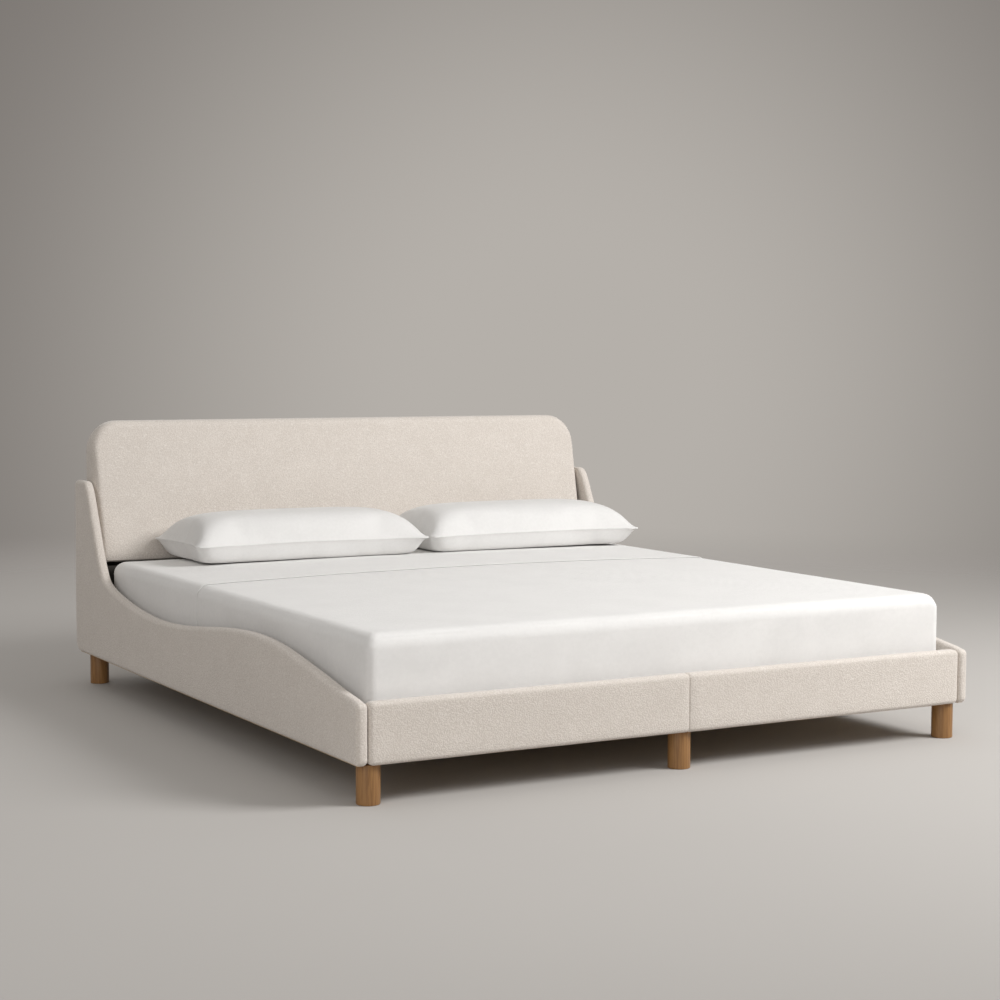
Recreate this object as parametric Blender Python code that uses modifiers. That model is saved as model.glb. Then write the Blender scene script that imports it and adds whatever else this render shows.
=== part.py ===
"""An upholstered platform bed for two: wavy side panels that rise into wings, a raked headboard pad
between the wings, a slatted base on round wooden legs, a made-up mattress and two pillows.

World frame: +X is the sleeper's left-to-right width seen from the foot, +Y runs from the foot to the
head, +Z is up, and the origin is the middle of the footprint on the floor. Metres.
"""

import math

import bmesh
import bpy
from mathutils import Matrix, Vector
from mathutils.geometry import interpolate_bezier

# Clearances
GAP = 0.0003  # between pieces that touch
PANEL_JOINT = 0.0015  # between the foot panel's ends and the side panels
BOLT_CLEARANCE = 0.0005
POCKET_PAST = 0.020  # a board's pocket runs this far out below its cover
PAD_CUT_PAST = 0.050  # the shapes that trim the pad run this far out below it
PAD_CUT_DEPTH = 1.0  # more than the pad's depth on both sides

# Shading and comparing
LEVEL = 0.001  # heights closer than this count as the same
SMOOTH_BELOW = math.radians(40)
BEVEL_ABOVE = math.radians(50)

# Made-up mattress
MATTRESS_WIDTH = 1.930
MATTRESS_LENGTH = 2.030
MATTRESS_BASE = 0.190  # height that the mattress lies at
MATTRESS_HEIGHT = 0.250
MATTRESS_CROWN = 0.016
MATTRESS_EDGE = 0.030
MATTRESS_SIDE_GAP = 0.025
MATTRESS_FOOT_GAP = 0.019
MATTRESS_HEAD_GAP = 0.011
SHEET_THICKNESS = 0.002
SHEET_EASE = 0.001
HEM_AT = 1.226  # from the mattress's foot end to the hem of the folded-back top sheet
CROWN_STEPS = 6

# Pillows
PILLOW_DEPTH = 0.430
PILLOW_RISE = 0.104  # seam to crown
PILLOW_SINK = 0.060  # seam to underside
PILLOW_SEAM_HALF = 0.008
PILLOW_LIFT = 0.007  # above the mattress's edge height
PILLOW_LEFT_MARGIN = 0.175
PILLOW_RIGHT_MARGIN = 0.004
PILLOW_SPACING = 0.015
PILLOW_TO_PAD = 0.009

# Upholstered panels
PANEL_BOTTOM = 0.107  # height of the panels' underside, which the legs stand up to
BOARD = 0.018
SIDE_THICKNESS = 0.034
FOOT_THICKNESS = 0.040
FOOT_TOP = 0.272
EDGE_FOAM = 0.014
PANEL_ROUND = 0.012
PANEL_CORNER = 0.016
REAR_BOTTOM_CORNER = 0.036
REAR_TOP_CORNER = 0.020

# Wave along the top of a side panel: distances from the foot (crest, dip) or from the head (wing)
CREST_AT = 0.680
CREST_HEIGHT = 0.366
DIP_AT = 1.480
DIP_HEIGHT = 0.310
HEEL_FROM_HEAD = 0.305
HEEL_HEIGHT = 0.384
WING_EDGE_FROM_HEAD = 0.190
WING_EDGE_HEIGHT = 0.567
WING_FLAT = 0.092
WING_TOP = 0.710
WAVE_STEPS = 10
WING_SLOPE = Vector((-0.46, -0.89)).normalized()
HEEL_SLOPE = Vector((-0.82, -0.57)).normalized()
FOOT_SLOPE = Vector((-1, -0.13)).normalized()
CORNER_STEPS = 5

# Headboard
HEADBOARD_TOP = 0.917
PAD_LIFT = 0.007  # above the mattress's edge height
PAD_DEPTH_BOTTOM = 0.148
PAD_DEPTH_TOP = 0.046
PAD_SIDE_GAP = 0.006
PAD_CORNER = 0.105
PAD_NOSE = 0.030
PAD_TOP_ROUND = 0.022
PAD_EDGE_FOAM = 0.024
BACK_COVER = 0.007
WING_OVERHANG = 0.013  # the wings stand this far past the back cover
HEAD_BAY = 0.158  # between the head rail and the headboard's board
HEAD_RAIL_TOP = 0.420

# Legs
LEG_DIAMETER = 0.064
LEG_EDGE = 0.004
LEG_FROM_SIDE = 0.055
LEG_FROM_FOOT = 0.050
LEG_FROM_HEAD = 0.095
BOLT_RADIUS = 0.004
BOLT_IN_LEG = 0.035
BOLT_IN_BLOCK = 0.045
LEG_SIDES = 32
BOLT_SIDES = 16

# Base timber
SLAT_COUNT = 13
SLAT_WIDTH = 0.090
SLAT_THICKNESS = 0.018
SLAT_END_GAP = 0.004
SLAT_FIRST = 0.012  # from the mattress's foot end to the first slat
STRAP_WIDTH = 0.025
STRAP_THICKNESS = 0.0015
STRAP_AT = 0.480
LEDGER_WIDTH = 0.025
LEDGER_HEIGHT = 0.045
BLOCK_WIDTH = 0.065
FOOT_BLOCK_DEPTH = 0.080
CENTRE_BLOCK_WIDTH = 0.100
RAIL_WIDTH = 0.045
RAIL_HEIGHT = 0.060
HANGER_WALL = 0.002
HANGER_DEPTH = 0.040
SUPPORT_COUNT = 3
SUPPORT_WIDTH = 0.045
SUPPORT_LIFT = 0.020
GLIDE_DIAMETER = 0.038
GLIDE_THICKNESS = 0.010
GLIDE_STEM = 0.050
GLIDE_SIDES = 24
BRACKET_WALL = 0.0025
BRACKET_LEG = 0.060
BRACKET_HEIGHT = 0.050
BRACKET_LIFT = 0.006

# Sizes that follow from the ones above
INNER_WIDTH = MATTRESS_WIDTH + 2 * MATTRESS_SIDE_GAP
BED_WIDTH = INNER_WIDTH + 2 * SIDE_THICKNESS
MATTRESS_FOOT = FOOT_THICKNESS + MATTRESS_FOOT_GAP
MATTRESS_HEAD = MATTRESS_FOOT + MATTRESS_LENGTH
MATTRESS_TOP = MATTRESS_BASE + MATTRESS_HEIGHT
HEAD_RAIL_FRONT = MATTRESS_HEAD + MATTRESS_HEAD_GAP
BOARD_FRONT = HEAD_RAIL_FRONT + BOARD + HEAD_BAY
BOARD_REAR = BOARD_FRONT + BOARD
BED_LENGTH = BOARD_REAR + BACK_COVER + WING_OVERHANG
PAD_BOTTOM = MATTRESS_TOP + PAD_LIFT
PAD_HALF = INNER_WIDTH / 2 - PAD_SIDE_GAP
SLAT_TOP = MATTRESS_BASE - GAP
SLAT_BOTTOM = SLAT_TOP - SLAT_THICKNESS
TIMBER_TOP = SLAT_BOTTOM - GAP
RAIL_BOTTOM = TIMBER_TOP - RAIL_HEIGHT
SIDE_SIGNS = {"left": -1, "right": 1}

# Which world direction each axis of a flat outline takes: along, up and through the thickness
ACROSS_SIDE = (Vector((0, 1, 0)), Vector((0, 0, 1)), Vector((1, 0, 0)))
ACROSS_FRONT = (Vector((1, 0, 0)), Vector((0, 0, 1)), Vector((0, -1, 0)))
LAID_FLAT = (Vector((1, 0, 0)), Vector((0, 1, 0)), Vector((0, 0, 1)))


def along(from_foot):
    """World Y of a distance counted from the foot end."""
    return from_foot - BED_LENGTH / 2


def clear_scene():
    for item in list(bpy.data.objects):
        bpy.data.objects.remove(item, do_unlink=True)


def make_collection(name):
    collection = bpy.data.collections.new(name)
    bpy.context.scene.collection.children.link(collection)
    return collection


def make_material(name, color, roughness, metallic=0.0):
    material = bpy.data.materials.new(name)
    material.use_nodes = True
    shader = material.node_tree.nodes["Principled BSDF"]
    shader.inputs["Base Color"].default_value = (*color, 1.0)
    shader.inputs["Roughness"].default_value = roughness
    shader.inputs["Metallic"].default_value = metallic
    return material


def add_object(name, mesh, material, place=(0, 0, 0), parent=None):
    item = bpy.data.objects.new(name, mesh)
    if not mesh.materials:
        mesh.materials.append(material)
    item.location = place
    item.parent = parent or bed
    parts.objects.link(item)
    return item


def add_empty(name, place, parent=None):
    item = bpy.data.objects.new(name, None)
    item.location = place
    item.parent = parent
    parts.objects.link(item)
    return item


def mesh_from(builder, name):
    """Runs a function that fills an empty bmesh, and returns the mesh."""
    mesh = bpy.data.meshes.new(name)
    shape = bmesh.new()
    builder(shape)
    bmesh.ops.recalc_face_normals(shape, faces=shape.faces)
    shape.to_mesh(mesh)
    shape.free()
    return mesh


def box_mesh(name, size):
    def build(shape):
        bmesh.ops.create_cube(shape, size=1.0, matrix=Matrix.Diagonal((*size, 1.0)))

    return mesh_from(build, name)


def add_box(name, low, high, material):
    """A box between two corners, given as distances across, from the foot and above the floor."""
    low_corner = Vector((low[0], along(low[1]), low[2]))
    high_corner = Vector((high[0], along(high[1]), high[2]))
    mesh = box_mesh(name, high_corner - low_corner)
    return add_object(name, mesh, material, (low_corner + high_corner) / 2)


def rod_mesh(name, radius, length, sides):
    def build(shape):
        bmesh.ops.create_cone(
            shape, cap_ends=True, segments=sides, radius1=radius, radius2=radius, depth=length
        )

    mesh = mesh_from(build, name)
    mesh.shade_smooth()
    mesh.set_sharp_from_angle(angle=SMOOTH_BELOW)
    return mesh


def add_turned(name, profile, material, place, sides, parent=None):
    """A turned piece from a profile of (radius, height) points that runs down the outer side."""
    mesh = bpy.data.meshes.new(name)
    points = [(radius, 0, height) for radius, height in profile]
    mesh.from_pydata(points, [(i, i + 1) for i in range(len(points) - 1)], [])
    item = add_object(name, mesh, material, place, parent)
    turn = item.modifiers.new("turn", "SCREW")
    turn.steps = sides
    turn.render_steps = sides
    turn.use_merge_vertices = True
    turn.merge_threshold = 0.00005
    return item


def make_cutter(item):
    """Moves an object to the cutters and hides it."""
    parts.objects.unlink(item)
    cutters.objects.link(item)
    item.hide_render = True
    item.display_type = "WIRE"
    return item


def cut(item, cutter, operation="DIFFERENCE"):
    boolean = item.modifiers.new(cutter.name, "BOOLEAN")
    boolean.operation = operation
    boolean.object = cutter


def rounded(corners):
    """A closed outline from (along, up, radius) corners, with an arc at each one that has a radius."""
    points = []
    for index, (x, y, radius) in enumerate(corners):
        corner = Vector((x, y))
        if radius == 0:
            points.append(corner)
            continue
        before = (Vector(corners[index - 1][:2]) - corner).normalized()
        after = (Vector(corners[(index + 1) % len(corners)][:2]) - corner).normalized()
        half_angle = before.angle(after) / 2
        centre = corner + (before + after).normalized() * radius / math.sin(half_angle)
        start = corner + before * radius / math.tan(half_angle) - centre
        sweep = start.angle_signed(corner + after * radius / math.tan(half_angle) - centre)
        for step in range(CORNER_STEPS + 1):
            turned = Matrix.Rotation(-sweep * step / CORNER_STEPS, 2) @ start
            points.append(centre + turned)
    return points


def inset(points, distance):
    """Moves a closed anticlockwise outline inwards by a distance."""
    moved = []
    for index, point in enumerate(points):
        arriving = (point - points[index - 1]).normalized()
        leaving = (points[(index + 1) % len(points)] - point).normalized()
        normal = Vector((-arriving.y - leaving.y, arriving.x + leaving.x)).normalized()
        shorten = normal.dot(Vector((-arriving.y, arriving.x)))
        moved.append(point + normal * distance / shorten)
    return moved


def add_plate(name, points, thickness, frame, centre, material, edge_round=0.0):
    """A flat piece: an outline filled on both sides, as thick as stated, with rounded edges."""
    curve = bpy.data.curves.new(name, "CURVE")
    curve.dimensions = "2D"
    curve.fill_mode = "BOTH"
    curve.extrude = thickness / 2 - edge_round
    curve.bevel_depth = edge_round
    curve.bevel_resolution = 1
    outline = inset(points, edge_round) if edge_round else points
    spline = curve.splines.new("POLY")
    spline.points.add(len(outline) - 1)
    for point, (x, y) in zip(spline.points, outline):
        point.co = (x, y, 0, 1)
    spline.use_cyclic_u = True
    source = bpy.data.objects.new(name + "_outline", curve)
    parts.objects.link(source)
    turn = Matrix(frame).transposed().to_4x4()
    source.matrix_world = Matrix.Translation(centre) @ turn
    bpy.context.view_layer.update()
    evaluated = source.evaluated_get(bpy.context.evaluated_depsgraph_get())
    mesh = bpy.data.meshes.new_from_object(evaluated)
    shape = bmesh.new()
    shape.from_mesh(mesh)
    bmesh.ops.remove_doubles(shape, verts=shape.verts, dist=0.00002)
    bmesh.ops.recalc_face_normals(shape, faces=shape.faces)
    shape.to_mesh(mesh)
    shape.free()
    mesh.materials.clear()
    item = add_object(name, mesh, material)
    item.matrix_world = source.matrix_world
    bpy.data.objects.remove(source)
    return item


def wave_points():
    """Top edge of a side panel from the wing's top down to the foot, as (from foot, height) points."""
    level = Vector((-1, 0))
    knots = [  # place, direction of travel, handle before, handle after
        (Vector((BED_LENGTH - WING_FLAT, WING_TOP)), level, 0, 0.035),
        (Vector((BED_LENGTH - WING_EDGE_FROM_HEAD, WING_EDGE_HEIGHT)), WING_SLOPE, 0.090, 0.060),
        (Vector((BED_LENGTH - HEEL_FROM_HEAD, HEEL_HEIGHT)), HEEL_SLOPE, 0.060, 0.050),
        (Vector((DIP_AT, DIP_HEIGHT)), level, 0.220, 0.300),
        (Vector((CREST_AT, CREST_HEIGHT)), level, 0.300, 0.230),
        (Vector((0, FOOT_TOP)), FOOT_SLOPE, 0.230, 0),
    ]
    points = []
    for (start, leaving, _, reach), (end, arriving, hold, _) in zip(knots, knots[1:]):
        stretch = interpolate_bezier(
            start, start + leaving * reach, end - arriving * hold, end, WAVE_STEPS + 1
        )
        points += [Vector(point[:2]) for point in stretch[:-1]]
    return points


def side_outline():
    """Side panel seen from the left, anticlockwise."""
    base = rounded(
        [
            (0, PANEL_BOTTOM, PANEL_CORNER),
            (BED_LENGTH, PANEL_BOTTOM, REAR_BOTTOM_CORNER),
            (BED_LENGTH, WING_TOP, REAR_TOP_CORNER),
            (0, WING_TOP, 0),
        ]
    )[:-1]
    foot_corner = rounded(
        [(BED_LENGTH, FOOT_TOP, 0), (0, FOOT_TOP, PANEL_CORNER), (0, PANEL_BOTTOM, 0)]
    )[1:-1]
    wave = [point for point in wave_points() if point.x > PANEL_CORNER]
    return base + wave + foot_corner


def opened_below(points, clear_below):
    """Drops an outline's bottom edge, so that a pocket with this outline opens below the panel."""
    lowest = min(point.y for point in points)
    return [
        Vector((point.x, point.y - clear_below)) if point.y < lowest + clear_below else point
        for point in points
    ]


def level_bottom(points, bottom):
    """Brings an inset outline's lower corners back down to a level bottom edge."""
    lowest = min(point.y for point in points)
    return [
        Vector((point.x, bottom)) if point.y < lowest + LEVEL else point for point in points
    ]


def add_panel(name, outline, thickness, frame, centre):
    """A foam-and-fabric cover over a board. The board slides in from below."""
    board_outline = level_bottom(inset(outline, EDGE_FOAM), PANEL_BOTTOM)
    add_plate(name + "_board", board_outline, BOARD, frame, centre, plywood)
    cover = add_plate(
        name + "_cover", outline, thickness, frame, centre, upholstery, PANEL_ROUND
    )
    pocket_outline = opened_below(inset(board_outline, -GAP), POCKET_PAST)
    pocket = add_plate(
        name + "_pocket", pocket_outline, BOARD + 2 * GAP, frame, centre, plywood
    )
    cut(cover, make_cutter(pocket))


def build_side_panels():
    for side, sign in SIDE_SIGNS.items():
        centre = Vector((sign * (BED_WIDTH - SIDE_THICKNESS) / 2, along(0), 0))
        add_panel(f"side_panel_{side}", side_outline(), SIDE_THICKNESS, ACROSS_SIDE, centre)


def build_foot_panel():
    half = INNER_WIDTH / 2 - PANEL_JOINT
    outline = rounded(
        [
            (-half, PANEL_BOTTOM, PANEL_CORNER),
            (half, PANEL_BOTTOM, PANEL_CORNER),
            (half, FOOT_TOP, PANEL_CORNER),
            (-half, FOOT_TOP, PANEL_CORNER),
        ]
    )
    centre = Vector((0, along(FOOT_THICKNESS / 2), 0))
    add_panel("foot_panel", outline, FOOT_THICKNESS, ACROSS_FRONT, centre)


def pad_front_outline(margin, bottom):
    """Headboard seen from the front, smaller by a margin at the sides and the top."""
    half = PAD_HALF - margin
    top = HEADBOARD_TOP - margin
    corner = PAD_CORNER - margin
    return rounded(
        [(-half, bottom, 0), (half, bottom, 0), (half, top, corner), (-half, top, corner)]
    )


def build_headboard():
    rear_centre = Vector((0, along(BOARD_REAR), 0))
    profile = rounded(
        [
            (BOARD_REAR, PAD_BOTTOM, 0),
            (BOARD_REAR, HEADBOARD_TOP, 0),
            (BOARD_REAR - PAD_DEPTH_TOP, HEADBOARD_TOP, PAD_TOP_ROUND),
            (BOARD_REAR - PAD_DEPTH_BOTTOM, PAD_BOTTOM, PAD_NOSE),
        ]
    )
    middle = Vector((0, along(0), 0))
    pad = add_plate("headboard_pad", profile, 2 * PAD_HALF, ACROSS_SIDE, middle, upholstery)
    around = add_plate(
        "headboard_around", pad_front_outline(0, PAD_BOTTOM - PAD_CUT_PAST), PAD_CUT_DEPTH,
        ACROSS_FRONT, rear_centre, upholstery,
    )
    cut(pad, make_cutter(around), "INTERSECT")
    shoulder = PAD_BOTTOM - GAP
    upper = pad_front_outline(PAD_EDGE_FOAM, shoulder)
    outline = [
        Vector((-PAD_HALF, shoulder)),
        Vector((-PAD_HALF, PANEL_BOTTOM)),
        Vector((PAD_HALF, PANEL_BOTTOM)),
        Vector((PAD_HALF, shoulder)),
    ] + upper[1:] + upper[:1]
    board_centre = Vector((0, along(BOARD_REAR - BOARD / 2), 0))
    add_plate("headboard_board", outline, BOARD, ACROSS_FRONT, board_centre, plywood)
    trimmed = pad_front_outline(PAD_EDGE_FOAM, PAD_BOTTOM - PAD_CUT_PAST)
    pocket_outline = inset(trimmed, -GAP)
    pocket = add_plate(
        "headboard_pocket", pocket_outline, 2 * (BOARD + GAP), ACROSS_FRONT, rear_centre, plywood
    )
    cut(pad, make_cutter(pocket))
    cover_centre = Vector((0, along(BOARD_REAR + GAP + BACK_COVER / 2), 0))
    add_plate(
        "headboard_back_cover", pad_front_outline(0, PANEL_BOTTOM), BACK_COVER, ACROSS_FRONT,
        cover_centre, upholstery,
    )
    half = INNER_WIDTH / 2 - GAP
    add_box(
        "head_rail",
        (-half, HEAD_RAIL_FRONT, RAIL_BOTTOM),
        (half, HEAD_RAIL_FRONT + BOARD, HEAD_RAIL_TOP),
        plywood,
    )


def leg_places():
    """Name, place across and place from the foot of each leg."""
    across = BED_WIDTH / 2 - LEG_FROM_SIDE
    rear = BED_LENGTH - LEG_FROM_HEAD
    return [
        ("foot_left", -across, LEG_FROM_FOOT),
        ("foot_centre", 0, LEG_FROM_FOOT),
        ("foot_right", across, LEG_FROM_FOOT),
        ("head_left", -across, rear),
        ("head_right", across, rear),
    ]


def block_box(where, across):
    """Lowest and highest corner of the block that a leg is bolted to."""
    half = INNER_WIDTH / 2 - GAP
    front, rear = FOOT_THICKNESS + GAP, FOOT_THICKNESS + FOOT_BLOCK_DEPTH
    if where.startswith("head"):
        front, rear = HEAD_RAIL_FRONT + BOARD + GAP, BOARD_FRONT - GAP
    if across == 0:
        left, right = -CENTRE_BLOCK_WIDTH / 2, CENTRE_BLOCK_WIDTH / 2
    elif across < 0:
        left, right = -half, -half + BLOCK_WIDTH
    else:
        left, right = half - BLOCK_WIDTH, half
    return (left, front, PANEL_BOTTOM), (right, rear, TIMBER_TOP)


def build_legs():
    top = PANEL_BOTTOM - GAP
    radius = LEG_DIAMETER / 2
    bore = BOLT_RADIUS + BOLT_CLEARANCE
    bore_bottom = top - BOLT_IN_LEG - BOLT_CLEARANCE
    profile = [
        (0, bore_bottom),
        (bore, bore_bottom),
        (bore, top),
        (radius, top),
        (radius, LEG_EDGE),
        (radius - LEG_EDGE / 3, LEG_EDGE / 3),
        (radius - LEG_EDGE, 0),
        (0, 0),
    ]
    bolt_length = BOLT_IN_LEG + BOLT_IN_BLOCK
    bolt_mesh = rod_mesh("leg_bolt", BOLT_RADIUS, bolt_length, BOLT_SIDES)
    bore_mesh = rod_mesh("leg_bolt_bore", bore, bolt_length + 2 * BOLT_CLEARANCE, BOLT_SIDES)
    for where, across, from_foot in leg_places():
        foot_of_leg = Vector((across, along(from_foot), 0))
        add_turned(f"leg_{where}", profile, oak, foot_of_leg, LEG_SIDES)
        middle = foot_of_leg + Vector((0, 0, top - BOLT_IN_LEG + bolt_length / 2))
        add_object(f"leg_bolt_{where}", bolt_mesh, steel, middle)
        block = add_box(f"leg_block_{where}", *block_box(where, across), pine)
        cut(block, make_cutter(add_object(f"bore_{where}", bore_mesh, steel, middle)))


def build_base():
    half = INNER_WIDTH / 2 - GAP
    ledger_start = FOOT_THICKNESS + FOOT_BLOCK_DEPTH + GAP
    ledger_end = HEAD_RAIL_FRONT - GAP
    for side, sign in SIDE_SIGNS.items():
        inner, outer = sorted((sign * (half - LEDGER_WIDTH), sign * half))
        add_box(
            f"side_ledger_{side}",
            (inner, ledger_start, TIMBER_TOP - LEDGER_HEIGHT),
            (outer, ledger_end, TIMBER_TOP),
            pine,
        )
    rail_start = ledger_start + HANGER_WALL + GAP
    rail_end = ledger_end - HANGER_WALL - GAP
    half_rail = RAIL_WIDTH / 2
    add_box(
        "centre_rail",
        (-half_rail, rail_start, RAIL_BOTTOM),
        (half_rail, rail_end, TIMBER_TOP),
        pine,
    )
    half_hanger = half_rail + GAP + HANGER_WALL
    hanger_bottom = RAIL_BOTTOM - GAP - HANGER_WALL
    room = add_box(
        "hanger_room",
        (-half_rail - GAP, rail_start - GAP, RAIL_BOTTOM - GAP),
        (half_rail + GAP, rail_end + GAP, TIMBER_TOP + GAP),
        steel,
    )
    make_cutter(room)
    hangers = {
        "foot": (ledger_start, ledger_start + HANGER_DEPTH),
        "head": (ledger_end - HANGER_DEPTH, ledger_end),
    }
    for end, (front, rear) in hangers.items():
        hanger = add_box(
            f"rail_hanger_{end}",
            (-half_hanger, front, hanger_bottom),
            (half_hanger, rear, TIMBER_TOP - GAP),
            steel,
        )
        cut(hanger, room)
    build_supports(rail_start, rail_end)


def build_supports(rail_start, rail_end):
    """Legs under the centre rail, each on a screw-in glide that turns out to level the bed."""
    top = RAIL_BOTTOM - GAP
    half = SUPPORT_WIDTH / 2
    stem = BOLT_RADIUS
    bore_height = GLIDE_STEM - SUPPORT_LIFT + 2 * BOLT_CLEARANCE
    bore_mesh = rod_mesh("glide_bore", stem + BOLT_CLEARANCE, 2 * bore_height, BOLT_SIDES)
    radius = GLIDE_DIAMETER / 2
    profile = [
        (0, GLIDE_STEM),
        (stem, GLIDE_STEM),
        (stem, GLIDE_THICKNESS),
        (radius, GLIDE_THICKNESS),
        (radius, GLIDE_THICKNESS / 4),
        (radius - GLIDE_THICKNESS / 4, 0),
        (0, 0),
    ]
    for index in range(SUPPORT_COUNT):
        share = (index + 1) / (SUPPORT_COUNT + 1)
        from_foot = rail_start + (rail_end - rail_start) * share
        name = str(index + 1)
        support = add_box(
            "centre_support_" + name,
            (-half, from_foot - half, SUPPORT_LIFT),
            (half, from_foot + half, top),
            pine,
        )
        place = Vector((0, along(from_foot), SUPPORT_LIFT))
        cut(support, make_cutter(add_object("glide_bore_" + name, bore_mesh, steel, place)))
        pivot = add_empty("glide_screw_" + name, (0, along(from_foot), 0), bed)
        add_turned("levelling_glide_" + name, profile, nylon, (0, 0, 0), GLIDE_SIDES, pivot)


def build_slats():
    length = INNER_WIDTH - 2 * SLAT_END_GAP
    mesh = box_mesh("slat", (length, SLAT_WIDTH, SLAT_THICKNESS))
    first = MATTRESS_FOOT + SLAT_FIRST + SLAT_WIDTH / 2
    last = MATTRESS_HEAD - SLAT_FIRST - SLAT_WIDTH / 2
    pitch = (last - first) / (SLAT_COUNT - 1)
    middle = (SLAT_TOP + SLAT_BOTTOM) / 2
    for index in range(SLAT_COUNT):
        place = (0, along(first + index * pitch), middle)
        add_object(f"slat_{index + 1:02d}", mesh, pine, place)
    for side, sign in SIDE_SIGNS.items():
        inner, outer = sorted((sign * STRAP_AT, sign * (STRAP_AT + STRAP_WIDTH)))
        add_box(
            f"slat_strap_{side}",
            (inner, first - SLAT_WIDTH / 2, TIMBER_TOP - STRAP_THICKNESS),
            (outer, last + SLAT_WIDTH / 2, TIMBER_TOP),
            webbing,
        )


def build_brackets():
    """Steel angles that pull the corners together."""
    wall, leg = BRACKET_WALL, BRACKET_LEG
    middle = SLAT_TOP + BRACKET_LIFT + BRACKET_HEIGHT / 2
    half = INNER_WIDTH / 2 - GAP
    corners = {"foot": FOOT_THICKNESS + GAP, "head": HEAD_RAIL_FRONT + BOARD + GAP}
    for end, face in corners.items():
        for side, sign in SIDE_SIGNS.items():
            angle = [(0, 0), (leg, 0), (leg, wall), (wall, wall), (wall, leg), (0, leg)]
            points = [Vector((sign * (half - across), depth)) for across, depth in angle]
            centre = Vector((0, along(face), middle))
            name = f"corner_bracket_{end}_{side}"
            add_plate(name, points, BRACKET_HEIGHT, LAID_FLAT, centre, steel)


def crown_rise(across, from_foot):
    """How far the mattress's top stands above its edge height at a place."""
    middle = (MATTRESS_FOOT + MATTRESS_HEAD) / 2
    u = across / (MATTRESS_WIDTH / 2)
    v = (from_foot - middle) / (MATTRESS_LENGTH / 2)
    return MATTRESS_CROWN * max(0, 1 - u * u) * max(0, 1 - v * v)


def crowned_mesh(name, shrink, front, rear, bottom, open_faces=()):
    """A crowned block, smaller than the made-up mattress by shrink, with faces left open."""
    half = MATTRESS_WIDTH / 2 - shrink
    top = MATTRESS_TOP - shrink
    size = Vector((2 * half, rear - front, top - bottom))
    centre = Vector((0, along((front + rear) / 2), (top + bottom) / 2))

    def build(shape):
        place = Matrix.Translation(centre) @ Matrix.Diagonal((*size, 1.0))
        bmesh.ops.create_cube(shape, size=1.0, matrix=place)
        level_edges = [
            edge for edge in shape.edges
            if abs(edge.verts[0].co.z - edge.verts[1].co.z) < LEVEL
        ]
        bmesh.ops.subdivide_edges(
            shape, edges=level_edges, cuts=CROWN_STEPS - 1, use_grid_fill=True
        )
        for vertex in shape.verts:
            if vertex.co.z > centre.z:
                vertex.co.z += crown_rise(vertex.co.x, vertex.co.y + BED_LENGTH / 2)
        shape.normal_update()
        opened = [
            face for face in shape.faces
            if any(face.normal.dot(Vector(direction)) > 0.9 for direction in open_faces)
        ]
        bmesh.ops.delete(shape, geom=opened, context="FACES")

    return mesh_from(build, name)


def round_edges(item, width):
    bevel = item.modifiers.new("edges", "BEVEL")
    bevel.width = width
    bevel.segments = 2
    bevel.limit_method = "ANGLE"
    bevel.angle_limit = BEVEL_ABOVE


def build_mattress():
    down, footwards = (0, 0, -1), (0, -1, 0)
    layer = SHEET_THICKNESS + SHEET_EASE
    lift = add_empty("mattress_lift", (0, 0, 0), bed)
    mattress_mesh = crowned_mesh(
        "mattress", 2 * layer, MATTRESS_FOOT + 2 * layer, MATTRESS_HEAD - 2 * layer, MATTRESS_BASE
    )
    mattress = add_object("mattress", mattress_mesh, ticking, (0, 0, 0), lift)
    round_edges(mattress, MATTRESS_EDGE - 2 * layer)
    sheets = [  # name, shrink, foot end, open faces
        ("fitted_sheet", layer, MATTRESS_FOOT + layer, (down,)),
        ("top_sheet", 0, MATTRESS_FOOT + HEM_AT, (down, footwards)),
    ]
    for name, shrink, front, open_faces in sheets:
        mesh = crowned_mesh(
            name, shrink, front, MATTRESS_HEAD - shrink, MATTRESS_BASE + SHEET_EASE, open_faces
        )
        sheet = add_object(name, mesh, cotton, (0, 0, 0), lift)
        round_edges(sheet, MATTRESS_EDGE - shrink)
        wall = sheet.modifiers.new("wall", "SOLIDIFY")
        wall.thickness = SHEET_THICKNESS
        wall.offset = -1
        wall.use_even_offset = True


def pillow_mesh(width):
    """A stuffed pillow about its seam plane, thickest in the middle and thin along the seam."""

    def build(shape):
        bmesh.ops.create_cube(shape, size=2.0)
        level_edges = [
            edge for edge in shape.edges
            if abs(edge.verts[0].co.z - edge.verts[1].co.z) < LEVEL
        ]
        bmesh.ops.subdivide_edges(shape, edges=level_edges, cuts=7, use_grid_fill=True)
        for vertex in shape.verts:
            u, v, side = vertex.co
            fullness = math.sqrt((1 - u**4) * (1 - v**4))
            swell = PILLOW_RISE if side > 0 else PILLOW_SINK
            height = PILLOW_SEAM_HALF + (swell - PILLOW_SEAM_HALF) * fullness
            vertex.co = (u * width / 2, v * PILLOW_DEPTH / 2, math.copysign(height, side))

    mesh = mesh_from(build, "pillow")
    mesh.shade_smooth()
    return mesh


def pad_front_at(height):
    """Distance from the foot of the headboard pad's front face at a height."""
    share = (height - PAD_BOTTOM) / (HEADBOARD_TOP - PAD_BOTTOM)
    depth = PAD_DEPTH_BOTTOM + (PAD_DEPTH_TOP - PAD_DEPTH_BOTTOM) * share
    return BOARD_REAR - depth


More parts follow.
